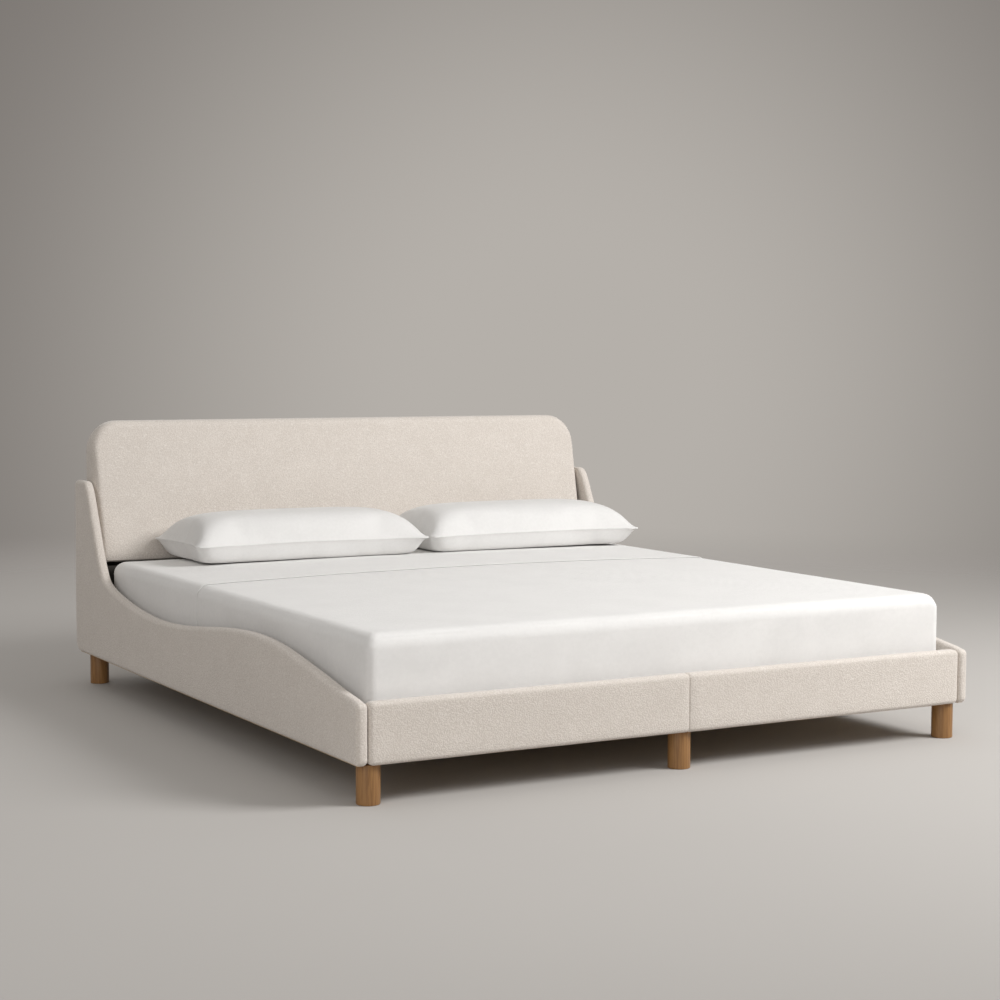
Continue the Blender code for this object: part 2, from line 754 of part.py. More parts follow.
def build_pillows():
    room = MATTRESS_WIDTH - PILLOW_LEFT_MARGIN - PILLOW_RIGHT_MARGIN - PILLOW_SPACING
    width = room / 2
    mesh = pillow_mesh(width)
    seam = MATTRESS_TOP + PILLOW_LIFT + PILLOW_SINK
    from_foot = pad_front_at(seam) - PILLOW_TO_PAD - PILLOW_DEPTH / 2
    left = -MATTRESS_WIDTH / 2 + PILLOW_LEFT_MARGIN + width / 2
    right = MATTRESS_WIDTH / 2 - PILLOW_RIGHT_MARGIN - width / 2
    for side, across in (("left", left), ("right", right)):
        lift = add_empty(f"pillow_{side}_lift", (across, along(from_foot), seam), bed)
        add_object(f"pillow_{side}", mesh, cotton, (0, 0, 0), lift)


clear_scene()
parts = make_collection("upholstered_bed")
cutters = make_collection("cutters")
bed = add_empty("bed", (0, 0, 0))
upholstery = make_material("upholstery", (0.70, 0.64, 0.57), 0.95)
plywood = make_material("plywood", (0.62, 0.47, 0.30), 0.70)
pine = make_material("pine", (0.72, 0.57, 0.38), 0.70)
oak = make_material("oak", (0.45, 0.26, 0.12), 0.45)
steel = make_material("steel", (0.55, 0.56, 0.58), 0.35, 1.0)
nylon = make_material("nylon", (0.06, 0.06, 0.06), 0.50)
webbing = make_material("webbing", (0.80, 0.79, 0.75), 0.90)
ticking = make_material("ticking", (0.80, 0.79, 0.77), 0.90)
cotton = make_material("cotton", (0.86, 0.85, 0.84), 0.85)
build_side_panels()
build_foot_panel()
build_headboard()
build_legs()
build_base()
build_slats()
build_brackets()
build_mattress()
build_pillows()
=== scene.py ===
"""An upholstered platform bed for two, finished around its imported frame.

Wavy side panels rise into wings beside a raked headboard pad. The bed stands on round wooden
legs and is made up with white sheets and two pillows. Metres; +X is across, +Y runs from the foot
to the head, and +Z is up.
"""

import logging
import math
from dataclasses import dataclass, field
from enum import Enum
from typing import Callable, Iterable, Optional, Sequence

import bmesh
import bpy
from mathutils import Matrix, Vector, noise
from mathutils.geometry import interpolate_bezier


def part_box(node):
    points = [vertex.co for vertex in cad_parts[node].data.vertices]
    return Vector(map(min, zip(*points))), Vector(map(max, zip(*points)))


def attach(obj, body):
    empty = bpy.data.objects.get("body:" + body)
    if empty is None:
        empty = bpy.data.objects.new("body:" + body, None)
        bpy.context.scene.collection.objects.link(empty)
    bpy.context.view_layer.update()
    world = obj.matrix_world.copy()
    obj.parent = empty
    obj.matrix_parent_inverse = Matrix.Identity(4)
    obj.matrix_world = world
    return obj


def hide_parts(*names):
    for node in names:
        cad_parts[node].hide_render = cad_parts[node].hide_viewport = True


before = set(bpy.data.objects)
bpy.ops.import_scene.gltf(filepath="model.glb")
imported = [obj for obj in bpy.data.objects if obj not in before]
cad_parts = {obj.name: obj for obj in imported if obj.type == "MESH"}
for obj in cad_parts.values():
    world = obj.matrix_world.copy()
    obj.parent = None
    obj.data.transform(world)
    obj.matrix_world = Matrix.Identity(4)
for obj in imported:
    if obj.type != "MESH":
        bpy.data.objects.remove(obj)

logging.basicConfig(level=logging.INFO, format="%(message)s")
log = logging.getLogger("bed")

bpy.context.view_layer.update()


class Body(Enum):
    """The bodies of the frame that pieces ride on."""

    FRAME = "bed_frame"
    MATTRESS = "mattress"
    PILLOW_LEFT = "pillow_left"
    PILLOW_RIGHT = "pillow_right"
    GLIDE_1 = "levelling_glide_1"
    GLIDE_2 = "levelling_glide_2"
    GLIDE_3 = "levelling_glide_3"


class Slot(Enum):
    """The record's material slots."""

    UPHOLSTERY = "upholstery"
    PLYWOOD = "plywood"
    PINE = "pine"
    OAK = "oak"
    STEEL = "steel"
    NYLON = "nylon"
    WEBBING = "webbing"
    TICKING = "ticking"
    COTTON = "cotton"


class Axis(Enum):
    """The world axis that a grain, a stripe or a row runs along."""

    X = 0
    Y = 1
    Z = 2


# ---------------------------------------------------------------- shader nodes


class Signal:
    """A shader socket that can be used in Python expressions."""

    def __init__(self, recipe: "Nodes", socket: bpy.types.NodeSocket) -> None:
        """Wraps an output socket of a recipe's tree."""
        self.recipe = recipe
        self.socket = socket

    def _with(self, operation: str, *others: "Signal | float") -> "Signal":
        """Adds one Math node of this signal and others."""
        return self.recipe.node("ShaderNodeMath", {"operation": operation}, self, *others)

    def __add__(self, other: "Signal | float") -> "Signal":
        """Sum."""
        return self._with("ADD", other)

    __radd__ = __add__

    def __mul__(self, other: "Signal | float") -> "Signal":
        """Product."""
        return self._with("MULTIPLY", other)

    __rmul__ = __mul__

    def __sub__(self, other: "Signal | float") -> "Signal":
        """Difference."""
        return self._with("SUBTRACT", other)

    def __rsub__(self, other: float) -> "Signal":
        """Difference from a number."""
        return self.recipe.node("ShaderNodeMath", {"operation": "SUBTRACT"}, other, self)

    def __truediv__(self, other: "Signal | float") -> "Signal":
        """Quotient."""
        return self._with("DIVIDE", other)

    def __pow__(self, other: float) -> "Signal":
        """Power."""
        return self._with("POWER", other)

    def sine(self) -> "Signal":
        """Sine of the signal."""
        return self._with("SINE")

    def size(self) -> "Signal":
        """The signal without its sign."""
        return self._with("ABSOLUTE")

    def larger(self, other: "Signal | float") -> "Signal":
        """The larger of two signals."""
        return self._with("MAXIMUM", other)

    def spread(self, low: float, high: float) -> "Signal":
        """Stretches low to high over 0 to 1, smoothly and held at both ends.

        Args:
            low: The value that becomes 0.
            high: The value that becomes 1.

        Returns:
            The stretched signal.
        """
        settings = {"interpolation_type": "SMOOTHSTEP"}
        return self.recipe.node("ShaderNodeMapRange", settings, self, low, high, 0.0, 1.0)


Colour = tuple[float, float, float]


class Nodes:
    """A node tree while it is being written."""

    def __init__(self, tree: bpy.types.NodeTree, coordinates: str) -> None:
        """Starts with a coordinates node.

        Args:
            tree: The node tree.
            coordinates: Which of its outputs patterns are laid out in.
        """
        self.tree = tree
        source = self.tree.nodes.new("ShaderNodeTexCoord")
        self.place = Signal(self, source.outputs[coordinates])

    def node(
        self, kind: str, settings: dict[str, object], *values: object, out: int = 0, **named: object
    ) -> Signal:
        """Adds one node.

        Args:
            kind: The node's type.
            settings: Its own settings, and for a ramp its stops as (position, colour) pairs.
            values: What feeds its sockets, in their order; None leaves one alone.
            out: Which output to return.
            named: What feeds sockets by name, with spaces as underscores.

        Returns:
            The chosen output.
        """
        made = self.tree.nodes.new(kind)
        for key, value in settings.items():
            if key == "stops":
                self._set_stops(made.color_ramp, value)
            else:
                setattr(made, key, value)
        for socket, value in zip(made.inputs, values):
            self.feed(socket, value)
        for key, value in named.items():
            self.feed(made.inputs[key.replace("_", " ")], value)
        return Signal(self, made.outputs[out])

    def _set_stops(self, ramp: bpy.types.ColorRamp, stops: Sequence[tuple]) -> None:
        """Puts stops on a ramp that has two to begin with."""
        while len(ramp.elements) < len(stops):
            ramp.elements.new(0.5)
        for element, (position, colour) in zip(ramp.elements, stops):
            element.position = position
            element.color = (*colour, 1.0)

    def feed(self, socket: bpy.types.NodeSocket, value: object) -> None:
        """Links a signal to a socket, or sets a constant."""
        if value is None:
            return
        if isinstance(value, Signal):
            self.tree.links.new(value.socket, socket)
        elif isinstance(value, tuple) and socket.type == "RGBA":
            socket.default_value = (*value, 1.0)
        else:
            socket.default_value = value

    def scaled(self, x: float, y: float, z: float) -> Signal:
        """Object coordinates multiplied along each axis."""
        return self.node("ShaderNodeVectorMath", {"operation": "MULTIPLY"}, self.place, (x, y, z))

    def parts_of(self, vector: Signal) -> tuple[Signal, Signal, Signal]:
        """The X, Y and Z of a vector."""
        first = self.node("ShaderNodeSeparateXYZ", {}, vector)
        outputs = first.socket.node.outputs
        return Signal(self, outputs[0]), Signal(self, outputs[1]), Signal(self, outputs[2])

    def clouds(
        self, scale: float, detail: float = 2.0, roughness: float = 0.5,
        place: Optional[Signal] = None,
    ) -> Signal:
        """Noise from about 0.3 to 0.7.

        Args:
            scale: Lumps in a metre.
            detail: How many finer layers it has.
            roughness: How strong the finer layers are.
            place: Coordinates other than the object's own.

        Returns:
            The noise's value.
        """
        return self.node(
            "ShaderNodeTexNoise", {}, Vector=place or self.place, Scale=scale, Detail=detail,
            Roughness=roughness,
        )

    def cells(self, scale: float, place: Optional[Signal] = None, feature: str = "F1") -> Signal:
        """Distance to the nearest of scattered points, with scale points in a metre."""
        return self.node(
            "ShaderNodeTexVoronoi", {"feature": feature}, Vector=place or self.place, Scale=scale
        )

    def mix(self, share: Signal | float, first: object, second: object) -> Signal:
        """Colours mixed by a share."""
        made = self.tree.nodes.new("ShaderNodeMix")
        made.data_type = "RGBA"
        self.feed(made.inputs["Factor"], share)
        colour_inputs = [socket for socket in made.inputs if socket.type == "RGBA"]
        for socket, value in zip(colour_inputs, (first, second)):
            self.feed(socket, value)
        return Signal(self, next(s for s in made.outputs if s.type == "RGBA"))

    def bump(self, height: Signal, depth: float, under: Optional[Signal] = None) -> Signal:
        """Relief of a height from 0 to 1.

        Args:
            height: The relief's height.
            depth: How deep its full range is, in metres.
            under: Relief that this one is added to.

        Returns:
            The bent normal.
        """
        return self.node(
            "ShaderNodeBump", {}, Strength=1.0, Distance=depth, Height=height, Normal=under
        )


class Recipe(Nodes):
    """A material while it is being written."""

    def __init__(self, name: str, roughness: float, metallic: float = 0.0) -> None:
        """Starts a material with one shader.

        Args:
            name: The material's name.
            roughness: Roughness where nothing drives it.
            metallic: Metallic value all over.
        """
        self.material = bpy.data.materials.new(name)
        self.material.use_nodes = True
        super().__init__(self.material.node_tree, "Object")
        self.shader = self.tree.nodes["Principled BSDF"]
        self.shader.inputs["Roughness"].default_value = roughness
        self.shader.inputs["Metallic"].default_value = metallic

    def finish(
        self, colour: Signal, normal: Optional[Signal] = None, roughness: Optional[Signal] = None
    ) -> bpy.types.Material:
        """Feeds the shader.

        Args:
            colour: Base colour.
            normal: Bent normal.
            roughness: Roughness that changes over the surface.

        Returns:
            The finished material.
        """
        self.feed(self.shader.inputs["Base Color"], colour)
        self.feed(self.shader.inputs["Normal"], normal)
        self.feed(self.shader.inputs["Roughness"], roughness)
        return self.material


# ---------------------------------------------------------------- finishes


@dataclass(frozen=True)
class NubbyWeave:
    """Oatmeal upholstery cloth of thick, uneven yarn."""

    light: Colour = (0.722, 0.668, 0.613)
    dark: Colour = (0.610, 0.556, 0.503)
    fleck: Colour = (0.775, 0.728, 0.675)
    nub: float = 0.0040
    relief: float = 0.0010
    sheen: float = 0.35

    def make(self) -> bpy.types.Material:
        """Writes the material."""
        recipe = Recipe("nubby_weave", 0.95)
        wander = recipe.node(
            "ShaderNodeTexNoise", {}, Vector=recipe.place, Scale=0.35 / self.nub, Detail=1.0, out=1
        )
        pulled = recipe.node(
            "ShaderNodeVectorMath", {"operation": "MULTIPLY_ADD"}, wander,
            (self.nub, self.nub, self.nub), recipe.place,
        )
        nubs = recipe.cells(1 / self.nub, pulled)
        domes = 1 - nubs.spread(0.05, 0.75)
        yarn = recipe.clouds(0.9 / self.nub, 3.0, 0.6)
        fibre = recipe.clouds(6 / self.nub, 2.0, 0.6)
        patches = recipe.clouds(14.0, 3.0, 0.55)
        # Darker where the domes and yarn leave the relief low, between the nubs: painted shade. The
        # patches are the cloth's own random tone.
        tone_and_nub_shade = (domes * 0.55 + yarn * 0.75 + patches * 0.35).spread(0.42, 1.12)
        shade = recipe.mix(tone_and_nub_shade, self.dark, self.light)
        loops = recipe.clouds(0.55 / self.nub, 1.0, 0.5).spread(0.60, 0.72)
        colour = recipe.mix(loops * 0.6, shade, self.fleck)
        height = domes * 0.62 + yarn * 0.45 + fibre * 0.12
        recipe.shader.inputs["Sheen Weight"].default_value = self.sheen
        recipe.shader.inputs["Sheen Roughness"].default_value = 0.45
        recipe.shader.inputs["Specular IOR Level"].default_value = 0.15
        return recipe.finish(colour, recipe.bump(height, self.relief))


@dataclass(frozen=True)
class PaintedShadeCloth:
    """Thin, near-black cloth that hides the timber behind the mattress; its near black is painted
    shade for the slot under the headboard pad.
    """

    # Both colours are painted shade: near black where the slot under the pad lies in shade, with
    # random fibre tone between them.
    black: Colour = (0.030, 0.027, 0.024)
    painted_shade_paler: Colour = (0.062, 0.056, 0.050)

    def make(self) -> bpy.types.Material:
        """Writes the material."""
        recipe = Recipe("lining_cloth", 0.9)
        fibre = recipe.clouds(420.0, 3.0, 0.6)
        patches = recipe.clouds(9.0, 2.0, 0.5)
        recipe.shader.inputs["Specular IOR Level"].default_value = 0.15
        colour = recipe.mix(fibre * 0.6 + patches * 0.4, self.black, self.painted_shade_paler)
        return recipe.finish(colour, recipe.bump(fibre, 0.0002))


@dataclass(frozen=True)
class Percale:
    """Smooth white cotton with a fine plain weave and soft creases."""

    name: str = "percale"
    white: Colour = (0.840, 0.830, 0.815)
    thread: float = 0.0006
    crease: float = 0.0008
    crease_scale: float = 7.0

    def make(self) -> bpy.types.Material:
        """Writes the material."""
        recipe = Recipe(self.name, 0.82)
        x, y, z = recipe.parts_of(recipe.scaled(*[math.tau / (2 * self.thread)] * 3))
        weave = (x.sine() * y.sine() + y.sine() * z.sine() + x.sine() * z.sine()).size()
        slubs = recipe.clouds(90.0, 3.0, 0.6)
        folds = recipe.clouds(self.crease_scale, 4.0, 0.55)
        # Greyer at the thread slubs, the cloth's own tone, and in the low parts of the fold relief,
        # which is painted shade in the creases.
        slub_tone_and_crease_shade = tuple(0.965 * part for part in self.white)
        colour = recipe.mix((slubs * 0.5 + folds * 0.5).spread(0.36, 0.62), slub_tone_and_crease_shade, self.white)
        base = recipe.bump(folds, self.crease)
        recipe.shader.inputs["Sheen Weight"].default_value = 0.12
        recipe.shader.inputs["Specular IOR Level"].default_value = 0.25
        return recipe.finish(colour, recipe.bump(weave * 0.5 + slubs, 0.0002, base))


@dataclass(frozen=True)
class Ticking:
    """Mattress cover: pale knit quilted in diamonds."""

    pale: Colour = (0.780, 0.770, 0.745)
    # stripe is the colour of the quilting channels, darker there as painted shade in the grooves.
    stripe: Colour = (0.640, 0.640, 0.630)
    diamond: float = 0.060

    def make(self) -> bpy.types.Material:
        """Writes the material."""
        recipe = Recipe("ticking", 0.88)
        x, y, z = recipe.parts_of(recipe.scaled(*[math.pi / self.diamond] * 3))
        across = (x + y + z).sine().size()
        back = (x - y + z).sine().size()
        quilt = across.spread(0.0, 0.5) * back.spread(0.0, 0.5)
        knit = recipe.clouds(600.0, 2.0, 0.5)
        # Darker along the quilting channels, where the relief is low: painted shade. The knit noise
        # is the cover's own tone.
        colour = recipe.mix(quilt * 0.7 + knit * 0.4, self.stripe, self.pale)
        return recipe.finish(colour, recipe.bump(knit, 0.0003, recipe.bump(quilt, 0.004)))


@dataclass(frozen=True)
class Timber:
    """Sawn or turned wood with its grain along one axis."""

    name: str
    pale: Colour
    dark: Colour
    grain: Axis
    ring: float = 0.011
    roughness: float = 0.5
    relief: float = 0.00015

    def make(self) -> bpy.types.Material:
        """Writes the material."""
        recipe = Recipe(self.name, self.roughness)
        along, across = 0.05, 1.0
        stretch = [along if axis is self.grain else across for axis in Axis]
        drawn = recipe.scaled(*stretch)
        rings = recipe.clouds(0.5 / self.ring, 3.0, 0.55, drawn)
        lines = (rings * 40.0).sine() * 0.5 + 0.5
        pores = recipe.clouds(7 / self.ring, 3.0, 0.65, drawn)
        clouding = recipe.clouds(9.0, 2.0, 0.5)
        figure = (lines * 0.35 + pores * 0.65 + clouding * 0.25).spread(0.25, 0.85)
        colour = recipe.mix(figure, self.dark, self.pale)
        sheen = pores * -0.25 + self.roughness + 0.12
        return recipe.finish(colour, recipe.bump(pores, self.relief), sheen)


@dataclass(frozen=True)
class Plywood:
    """Birch plywood: plies show in thin stripes across one axis, where its edges are bare."""

    name: str
    across: Axis
    pale: Colour = (0.600, 0.455, 0.290)
    dark: Colour = (0.330, 0.215, 0.120)
    ply: float = 0.0014

    def make(self) -> bpy.types.Material:
        """Writes the material."""
        recipe = Recipe(self.name, 0.68)
        turn = math.pi / self.ply
        scale = [turn if axis is self.across else 0.0 for axis in Axis]
        stripes = sum(recipe.parts_of(recipe.scaled(*scale)), start=0.0)
        layers = stripes.sine() * 0.5 + 0.5
        grain = recipe.clouds(60.0, 4.0, 0.6, recipe.scaled(1.0, 0.10, 1.0))
        figure = (layers * 0.30 + grain * 0.80).spread(0.20, 0.85)
        return recipe.finish(
            recipe.mix(figure, self.dark, self.pale), recipe.bump(grain, 0.0002)
        )


@dataclass(frozen=True)
class ZincPlate:
    """Zinc-plated steel with a faint crystalline mottle."""

    bright: Colour = (0.610, 0.620, 0.640)
    dull: Colour = (0.430, 0.440, 0.455)

    def make(self) -> bpy.types.Material:
        """Writes the material."""
        recipe = Recipe("zinc_plate", 0.34, 1.0)
        crystals = recipe.cells(140.0)
        wear = recipe.clouds(45.0, 3.0, 0.6)
        colour = recipe.mix((crystals * 0.5 + wear).spread(0.3, 1.0), self.dull, self.bright)
        return recipe.finish(colour, recipe.bump(wear, 0.0001), wear * 0.35 + 0.18)


@dataclass(frozen=True)
class MouldedNylon:
    """Black moulded plastic with a spark-eroded surface."""

    black: Colour = (0.022, 0.022, 0.023)
    scuffed: Colour = (0.060, 0.059, 0.057)

    def make(self) -> bpy.types.Material:
        """Writes the material."""
        recipe = Recipe("moulded_nylon", 0.48)
        scuffs = recipe.clouds(120.0, 4.0, 0.7)
        colour = recipe.mix(scuffs.spread(0.5, 0.7), self.black, self.scuffed)
        return recipe.finish(colour, recipe.bump(recipe.clouds(1500.0), 0.0001))


@dataclass(frozen=True)
class Webbing:
    """Cream polyester webbing in a herringbone weave."""

    cream: Colour = (0.680, 0.660, 0.600)
    shade: Colour = (0.480, 0.460, 0.405)
    rib: float = 0.0018

    def make(self) -> bpy.types.Material:
        """Writes the material."""
        recipe = Recipe("webbing", 0.86)
        x, y, _ = recipe.parts_of(recipe.scaled(*[math.tau / self.rib] * 3))
        ribs = ((x.sine() * 1.2 + y).sine() * 0.5 + 0.5).spread(0.1, 0.9)
        # Darker in the valleys between the ribs, where the relief is low: painted shade.
        colour = recipe.mix(ribs, self.shade, self.cream)
        return recipe.finish(colour, recipe.bump(ribs, 0.0005))


# ---------------------------------------------------------------- modelling help


def deselect_all() -> None:
    """Leaves nothing selected or active in object mode."""
    if bpy.context.object and bpy.context.object.mode != "OBJECT":
        bpy.ops.object.mode_set(mode="OBJECT")
    for item in bpy.context.selected_objects:
        item.select_set(False)


def make_active(piece: bpy.types.Object) -> None:
    """Selects one piece and makes it the active one."""
    deselect_all()
    piece.select_set(True)
    bpy.context.view_layer.objects.active = piece


class Edit:
    """Edit mode on one piece, as a with block."""

    def __init__(self, piece: bpy.types.Object, mode: str = "FACE") -> None:
        """Keeps the piece and the kind of element that is selected.

        Args:
            piece: The piece to edit.
            mode: VERT, EDGE or FACE.
        """
        self.piece = piece
        self.mode = mode

    def __enter__(self) -> "Edit":
        """Enters edit mode with nothing selected."""
        make_active(self.piece)
        bpy.ops.object.mode_set(mode="EDIT")
        bpy.ops.mesh.select_mode(type=self.mode)
        bpy.ops.mesh.select_all(action="DESELECT")
        return self

    def __exit__(self, *_: object) -> None:
        """Returns to object mode."""
        bpy.ops.object.mode_set(mode="OBJECT")

    def select(self, wanted: Callable[[object], bool]) -> int:
        """Selects the elements that a test picks.

        Args:
            wanted: A test of a face, an edge or a vertex.

        Returns:
            How many are selected.
        """
        bpy.ops.mesh.select_all(action="DESELECT")
        shape = bmesh.from_edit_mesh(self.piece.data)
        kinds = {"FACE": shape.faces, "EDGE": shape.edges, "VERT": shape.verts}
        count = 0
        for element in kinds[self.mode]:
            if wanted(element):
                element.select_set(True)
                count += 1
        bmesh.update_edit_mesh(self.piece.data)
        return count

    def move_points(self, moved: Callable[[Vector], Vector]) -> None:
        """Moves every point to where a function of its place says."""
        shape = bmesh.from_edit_mesh(self.piece.data)
        for point in shape.verts:
            point.co = moved(point.co.copy())
        bmesh.update_edit_mesh(self.piece.data)

    def push(self, amount: Callable[[Vector], float]) -> None:
        """Moves every point along its own normal by a function of its place."""
        shape = bmesh.from_edit_mesh(self.piece.data)
        shape.normal_update()
        normals = [point.normal.copy() for point in shape.verts]
        for point, normal in zip(shape.verts, normals):
            point.co += normal * amount(point.co)
        bmesh.update_edit_mesh(self.piece.data)

    def slice(self, axis: Axis, places: Iterable[float]) -> None:
        """Cuts the whole mesh with planes across an axis."""
        direction = [0.0, 0.0, 0.0]
        direction[axis.value] = 1.0
        for place in places:
            at = [0.0, 0.0, 0.0]
            at[axis.value] = place
            bpy.ops.mesh.select_all(action="SELECT")
            bpy.ops.mesh.bisect(plane_co=at, plane_no=direction, threshold=0.00002)

    def tidy(self, distance: float = 0.00001) -> None:
        """Merges doubled points and turns all faces outwards."""
        bpy.ops.mesh.select_all(action="SELECT")
        bpy.ops.mesh.remove_doubles(threshold=distance)
        bpy.ops.mesh.normals_make_consistent(inside=False)


def steps(low: float, high: float, size: float) -> list[float]:
    """Evenly spaced places strictly between two ends, about a size apart."""
    count = max(1, round((high - low) / size))
    return [low + (high - low) * index / count for index in range(1, count)]


def smooth(piece: bpy.types.Object, angle: float = 40.0) -> None:
    """Shades a piece smooth below an angle in degrees."""
    make_active(piece)
    bpy.ops.object.shade_smooth_by_angle(angle=math.radians(angle))
    deselect_all()


def settle(piece: bpy.types.Object) -> None:
    """Puts a piece's place into its mesh and its object at the origin."""
    make_active(piece)
    bpy.ops.object.transform_apply(location=True, rotation=True, scale=True)
    deselect_all()


def apply_modifier(piece: bpy.types.Object, name: str) -> None:
    """Applies one modifier."""
    make_active(piece)
    bpy.ops.object.modifier_apply(modifier=name)
    deselect_all()


def arc(centre: Vector, start: Vector, angle: float, count: int) -> list[Vector]:
    """Points of an arc in the plane.

    Args:
        centre: The arc's centre.
        start: From the centre to the first point.
        angle: How far it turns, anticlockwise above 0, in radians.
        count: How many steps it has.

    Returns:
        The points, with both ends.
    """
    return [centre + Matrix.Rotation(angle * i / count, 2) @ start for i in range(count + 1)]


def rounded(corners: Sequence[tuple[float, float, float]], count: int = 8) -> list[Vector]:
    """A closed outline whose corners have radii.

    Args:
        corners: (along, up, radius) of each corner, anticlockwise.
        count: Steps in each arc.

    Returns:
        The outline's points.
    """
    points: list[Vector] = []
    for index, (x, y, radius) in enumerate(corners):
        corner = Vector((x, y))
        if radius == 0:
            points.append(corner)
            continue
        before = (Vector(corners[index - 1][:2]) - corner).normalized()
        after = (Vector(corners[(index + 1) % len(corners)][:2]) - corner).normalized()
        half = before.angle(after) / 2
        centre = corner + (before + after).normalized() * radius / math.sin(half)
        start = corner + before * radius / math.tan(half) - centre
        end = corner + after * radius / math.tan(half) - centre
        points += arc(centre, start, -start.angle_signed(end), count)
    return points


class Plane(Enum):
    """The plane that a flat outline stands in, with the way its thickness goes."""

    SIDE = 0
    FRONT = 1
    FLAT = 2

    def place(self, x: float, y: float, depth: float) -> Vector:
        """World place of a point of an outline at a depth."""
        if self is Plane.SIDE:
            return Vector((depth, x, y))
        if self is Plane.FRONT:
            return Vector((x, depth, y))
        return Vector((x, y, depth))

    @property
    def axis(self) -> Axis:
        """The axis that the thickness goes along."""
        return {Plane.SIDE: Axis.X, Plane.FRONT: Axis.Y, Plane.FLAT: Axis.Z}[self]


def add_slab(
    name: str, points: Sequence[Vector], plane: Plane, low: float, high: float
) -> bpy.types.Object:
    """A flat piece from a filled circle whose points are moved onto an outline, then extruded.

    Args:
        name: The piece's name.
        points: The outline.
        plane: The plane that it stands in.
        low: Where its thickness starts.
        high: Where its thickness ends.

    Returns:
        The piece, with its place in its mesh.
    """
    deselect_all()
    bpy.ops.mesh.primitive_circle_add(vertices=len(points), radius=1.0, fill_type="NGON")
    piece = bpy.context.object
    piece.name = piece.data.name = name
    travel = plane.place(0, 0, high - low)
    with Edit(piece) as edit:
        shape = bmesh.from_edit_mesh(piece.data)
        for vertex, point in zip(shape.verts, points):
            vertex.co = plane.place(point.x, point.y, low)
        bmesh.update_edit_mesh(piece.data)
        bpy.ops.mesh.select_all(action="SELECT")
        bpy.ops.mesh.extrude_region_move(TRANSFORM_OT_translate={"value": travel})
        edit.tidy()
    return piece


def round_rim(piece: bpy.types.Object, axis: Axis, width: float, segments: int = 6) -> None:
    """Rounds the rims of a slab's two broad faces.

    Args:
        piece: The slab.
        axis: The axis across its thickness.
        width: The radius.
        segments: Steps in the rounding.
    """
    with Edit(piece, "EDGE") as edit:
        edit.select(
            lambda edge: sum(abs(f.normal[axis.value]) > 0.99 for f in edge.link_faces) == 1
        )
        bpy.ops.mesh.bevel(
            offset=width, offset_type="OFFSET", segments=segments, profile=0.5, affect="EDGES",
            clamp_overlap=False,
        )
        edit.tidy()


@dataclass
class Workshop:
    """Finishes, made once, and the names that pieces take them by."""

    weave: bpy.types.Material = field(default_factory=lambda: NubbyWeave().make())
    # The near-black cloth is painted shade behind the mattress.
    lining: bpy.types.Material = field(default_factory=lambda: PaintedShadeCloth().make())
    percale: bpy.types.Material = field(default_factory=lambda: Percale().make())
    # A greyer copy of the sheet percale: the pillows' lower white is painted shade on the same
    # cotton; their deeper creases are the cloth's own.
    shaded_pillow_cotton: bpy.types.Material = field(
        default_factory=lambda: Percale(
            "pillow_percale", white=(0.785, 0.776, 0.762), crease=0.0016, crease_scale=5.0
        ).make()
    )
    ticking: bpy.types.Material = field(default_factory=lambda: Ticking().make())
    zinc: bpy.types.Material = field(default_factory=lambda: ZincPlate().make())
    nylon: bpy.types.Material = field(default_factory=lambda: MouldedNylon().make())
    webbing: bpy.types.Material = field(default_factory=lambda: Webbing().make())
    made: dict[str, bpy.types.Material] = field(default_factory=dict)

    def timber(self, kind: Slot, grain: Axis) -> bpy.types.Material:
        """Oak or pine with its grain along an axis, made once.

        Args:
            kind: Slot.OAK or Slot.PINE.
            grain: Where the grain runs.

        Returns:
            The material.
        """
        name = f"{kind.value}_along_{grain.name.lower()}"
        if name not in self.made:
            oak = kind is Slot.OAK
            self.made[name] = Timber(
                name,
                pale=(0.332, 0.172, 0.062) if oak else (0.690, 0.520, 0.320),
                dark=(0.222, 0.106, 0.036) if oak else (0.480, 0.320, 0.170),
                grain=grain,
                ring=0.009 if oak else 0.014,
                roughness=0.42 if oak else 0.62,
            ).make()
        return self.made[name]

    def plywood(self, across: Axis) -> bpy.types.Material:
        """Plywood with its plies across an axis, made once."""
        name = f"plywood_across_{across.name.lower()}"
        if name not in self.made:
            self.made[name] = Plywood(name, across).make()
        return self.made[name]


def dress_node(node: str, material: bpy.types.Material) -> None:
    """Gives a carried-over solid a finish.

    Args:
        node: The solid's name.
        material: Its finish.
    """
    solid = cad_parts[node]
    solid.data.materials.clear()
    solid.data.materials.append(material)
    log.info("dressed %s", node)


def hand_over(
    piece: bpy.types.Object, body: Body, material: bpy.types.Material,
    nodes: Sequence[str] = (),
) -> bpy.types.Object:
    """Finishes a new piece: its material, its body, and the solids that it stands for.

    Args:
        piece: The piece.
        body: The body that it rides on.
        material: Its finish.
        nodes: The solids that it replaces.

    Returns:
        The piece.
    """
    settle(piece)
    piece.data.materials.clear()
    piece.data.materials.append(material)
    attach(piece, body.value)
    if nodes:
        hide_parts(*nodes)
    log.info("made %s: %d faces", piece.name, len(piece.data.polygons))
    return piece


# ---------------------------------------------------------------- upholstered panels


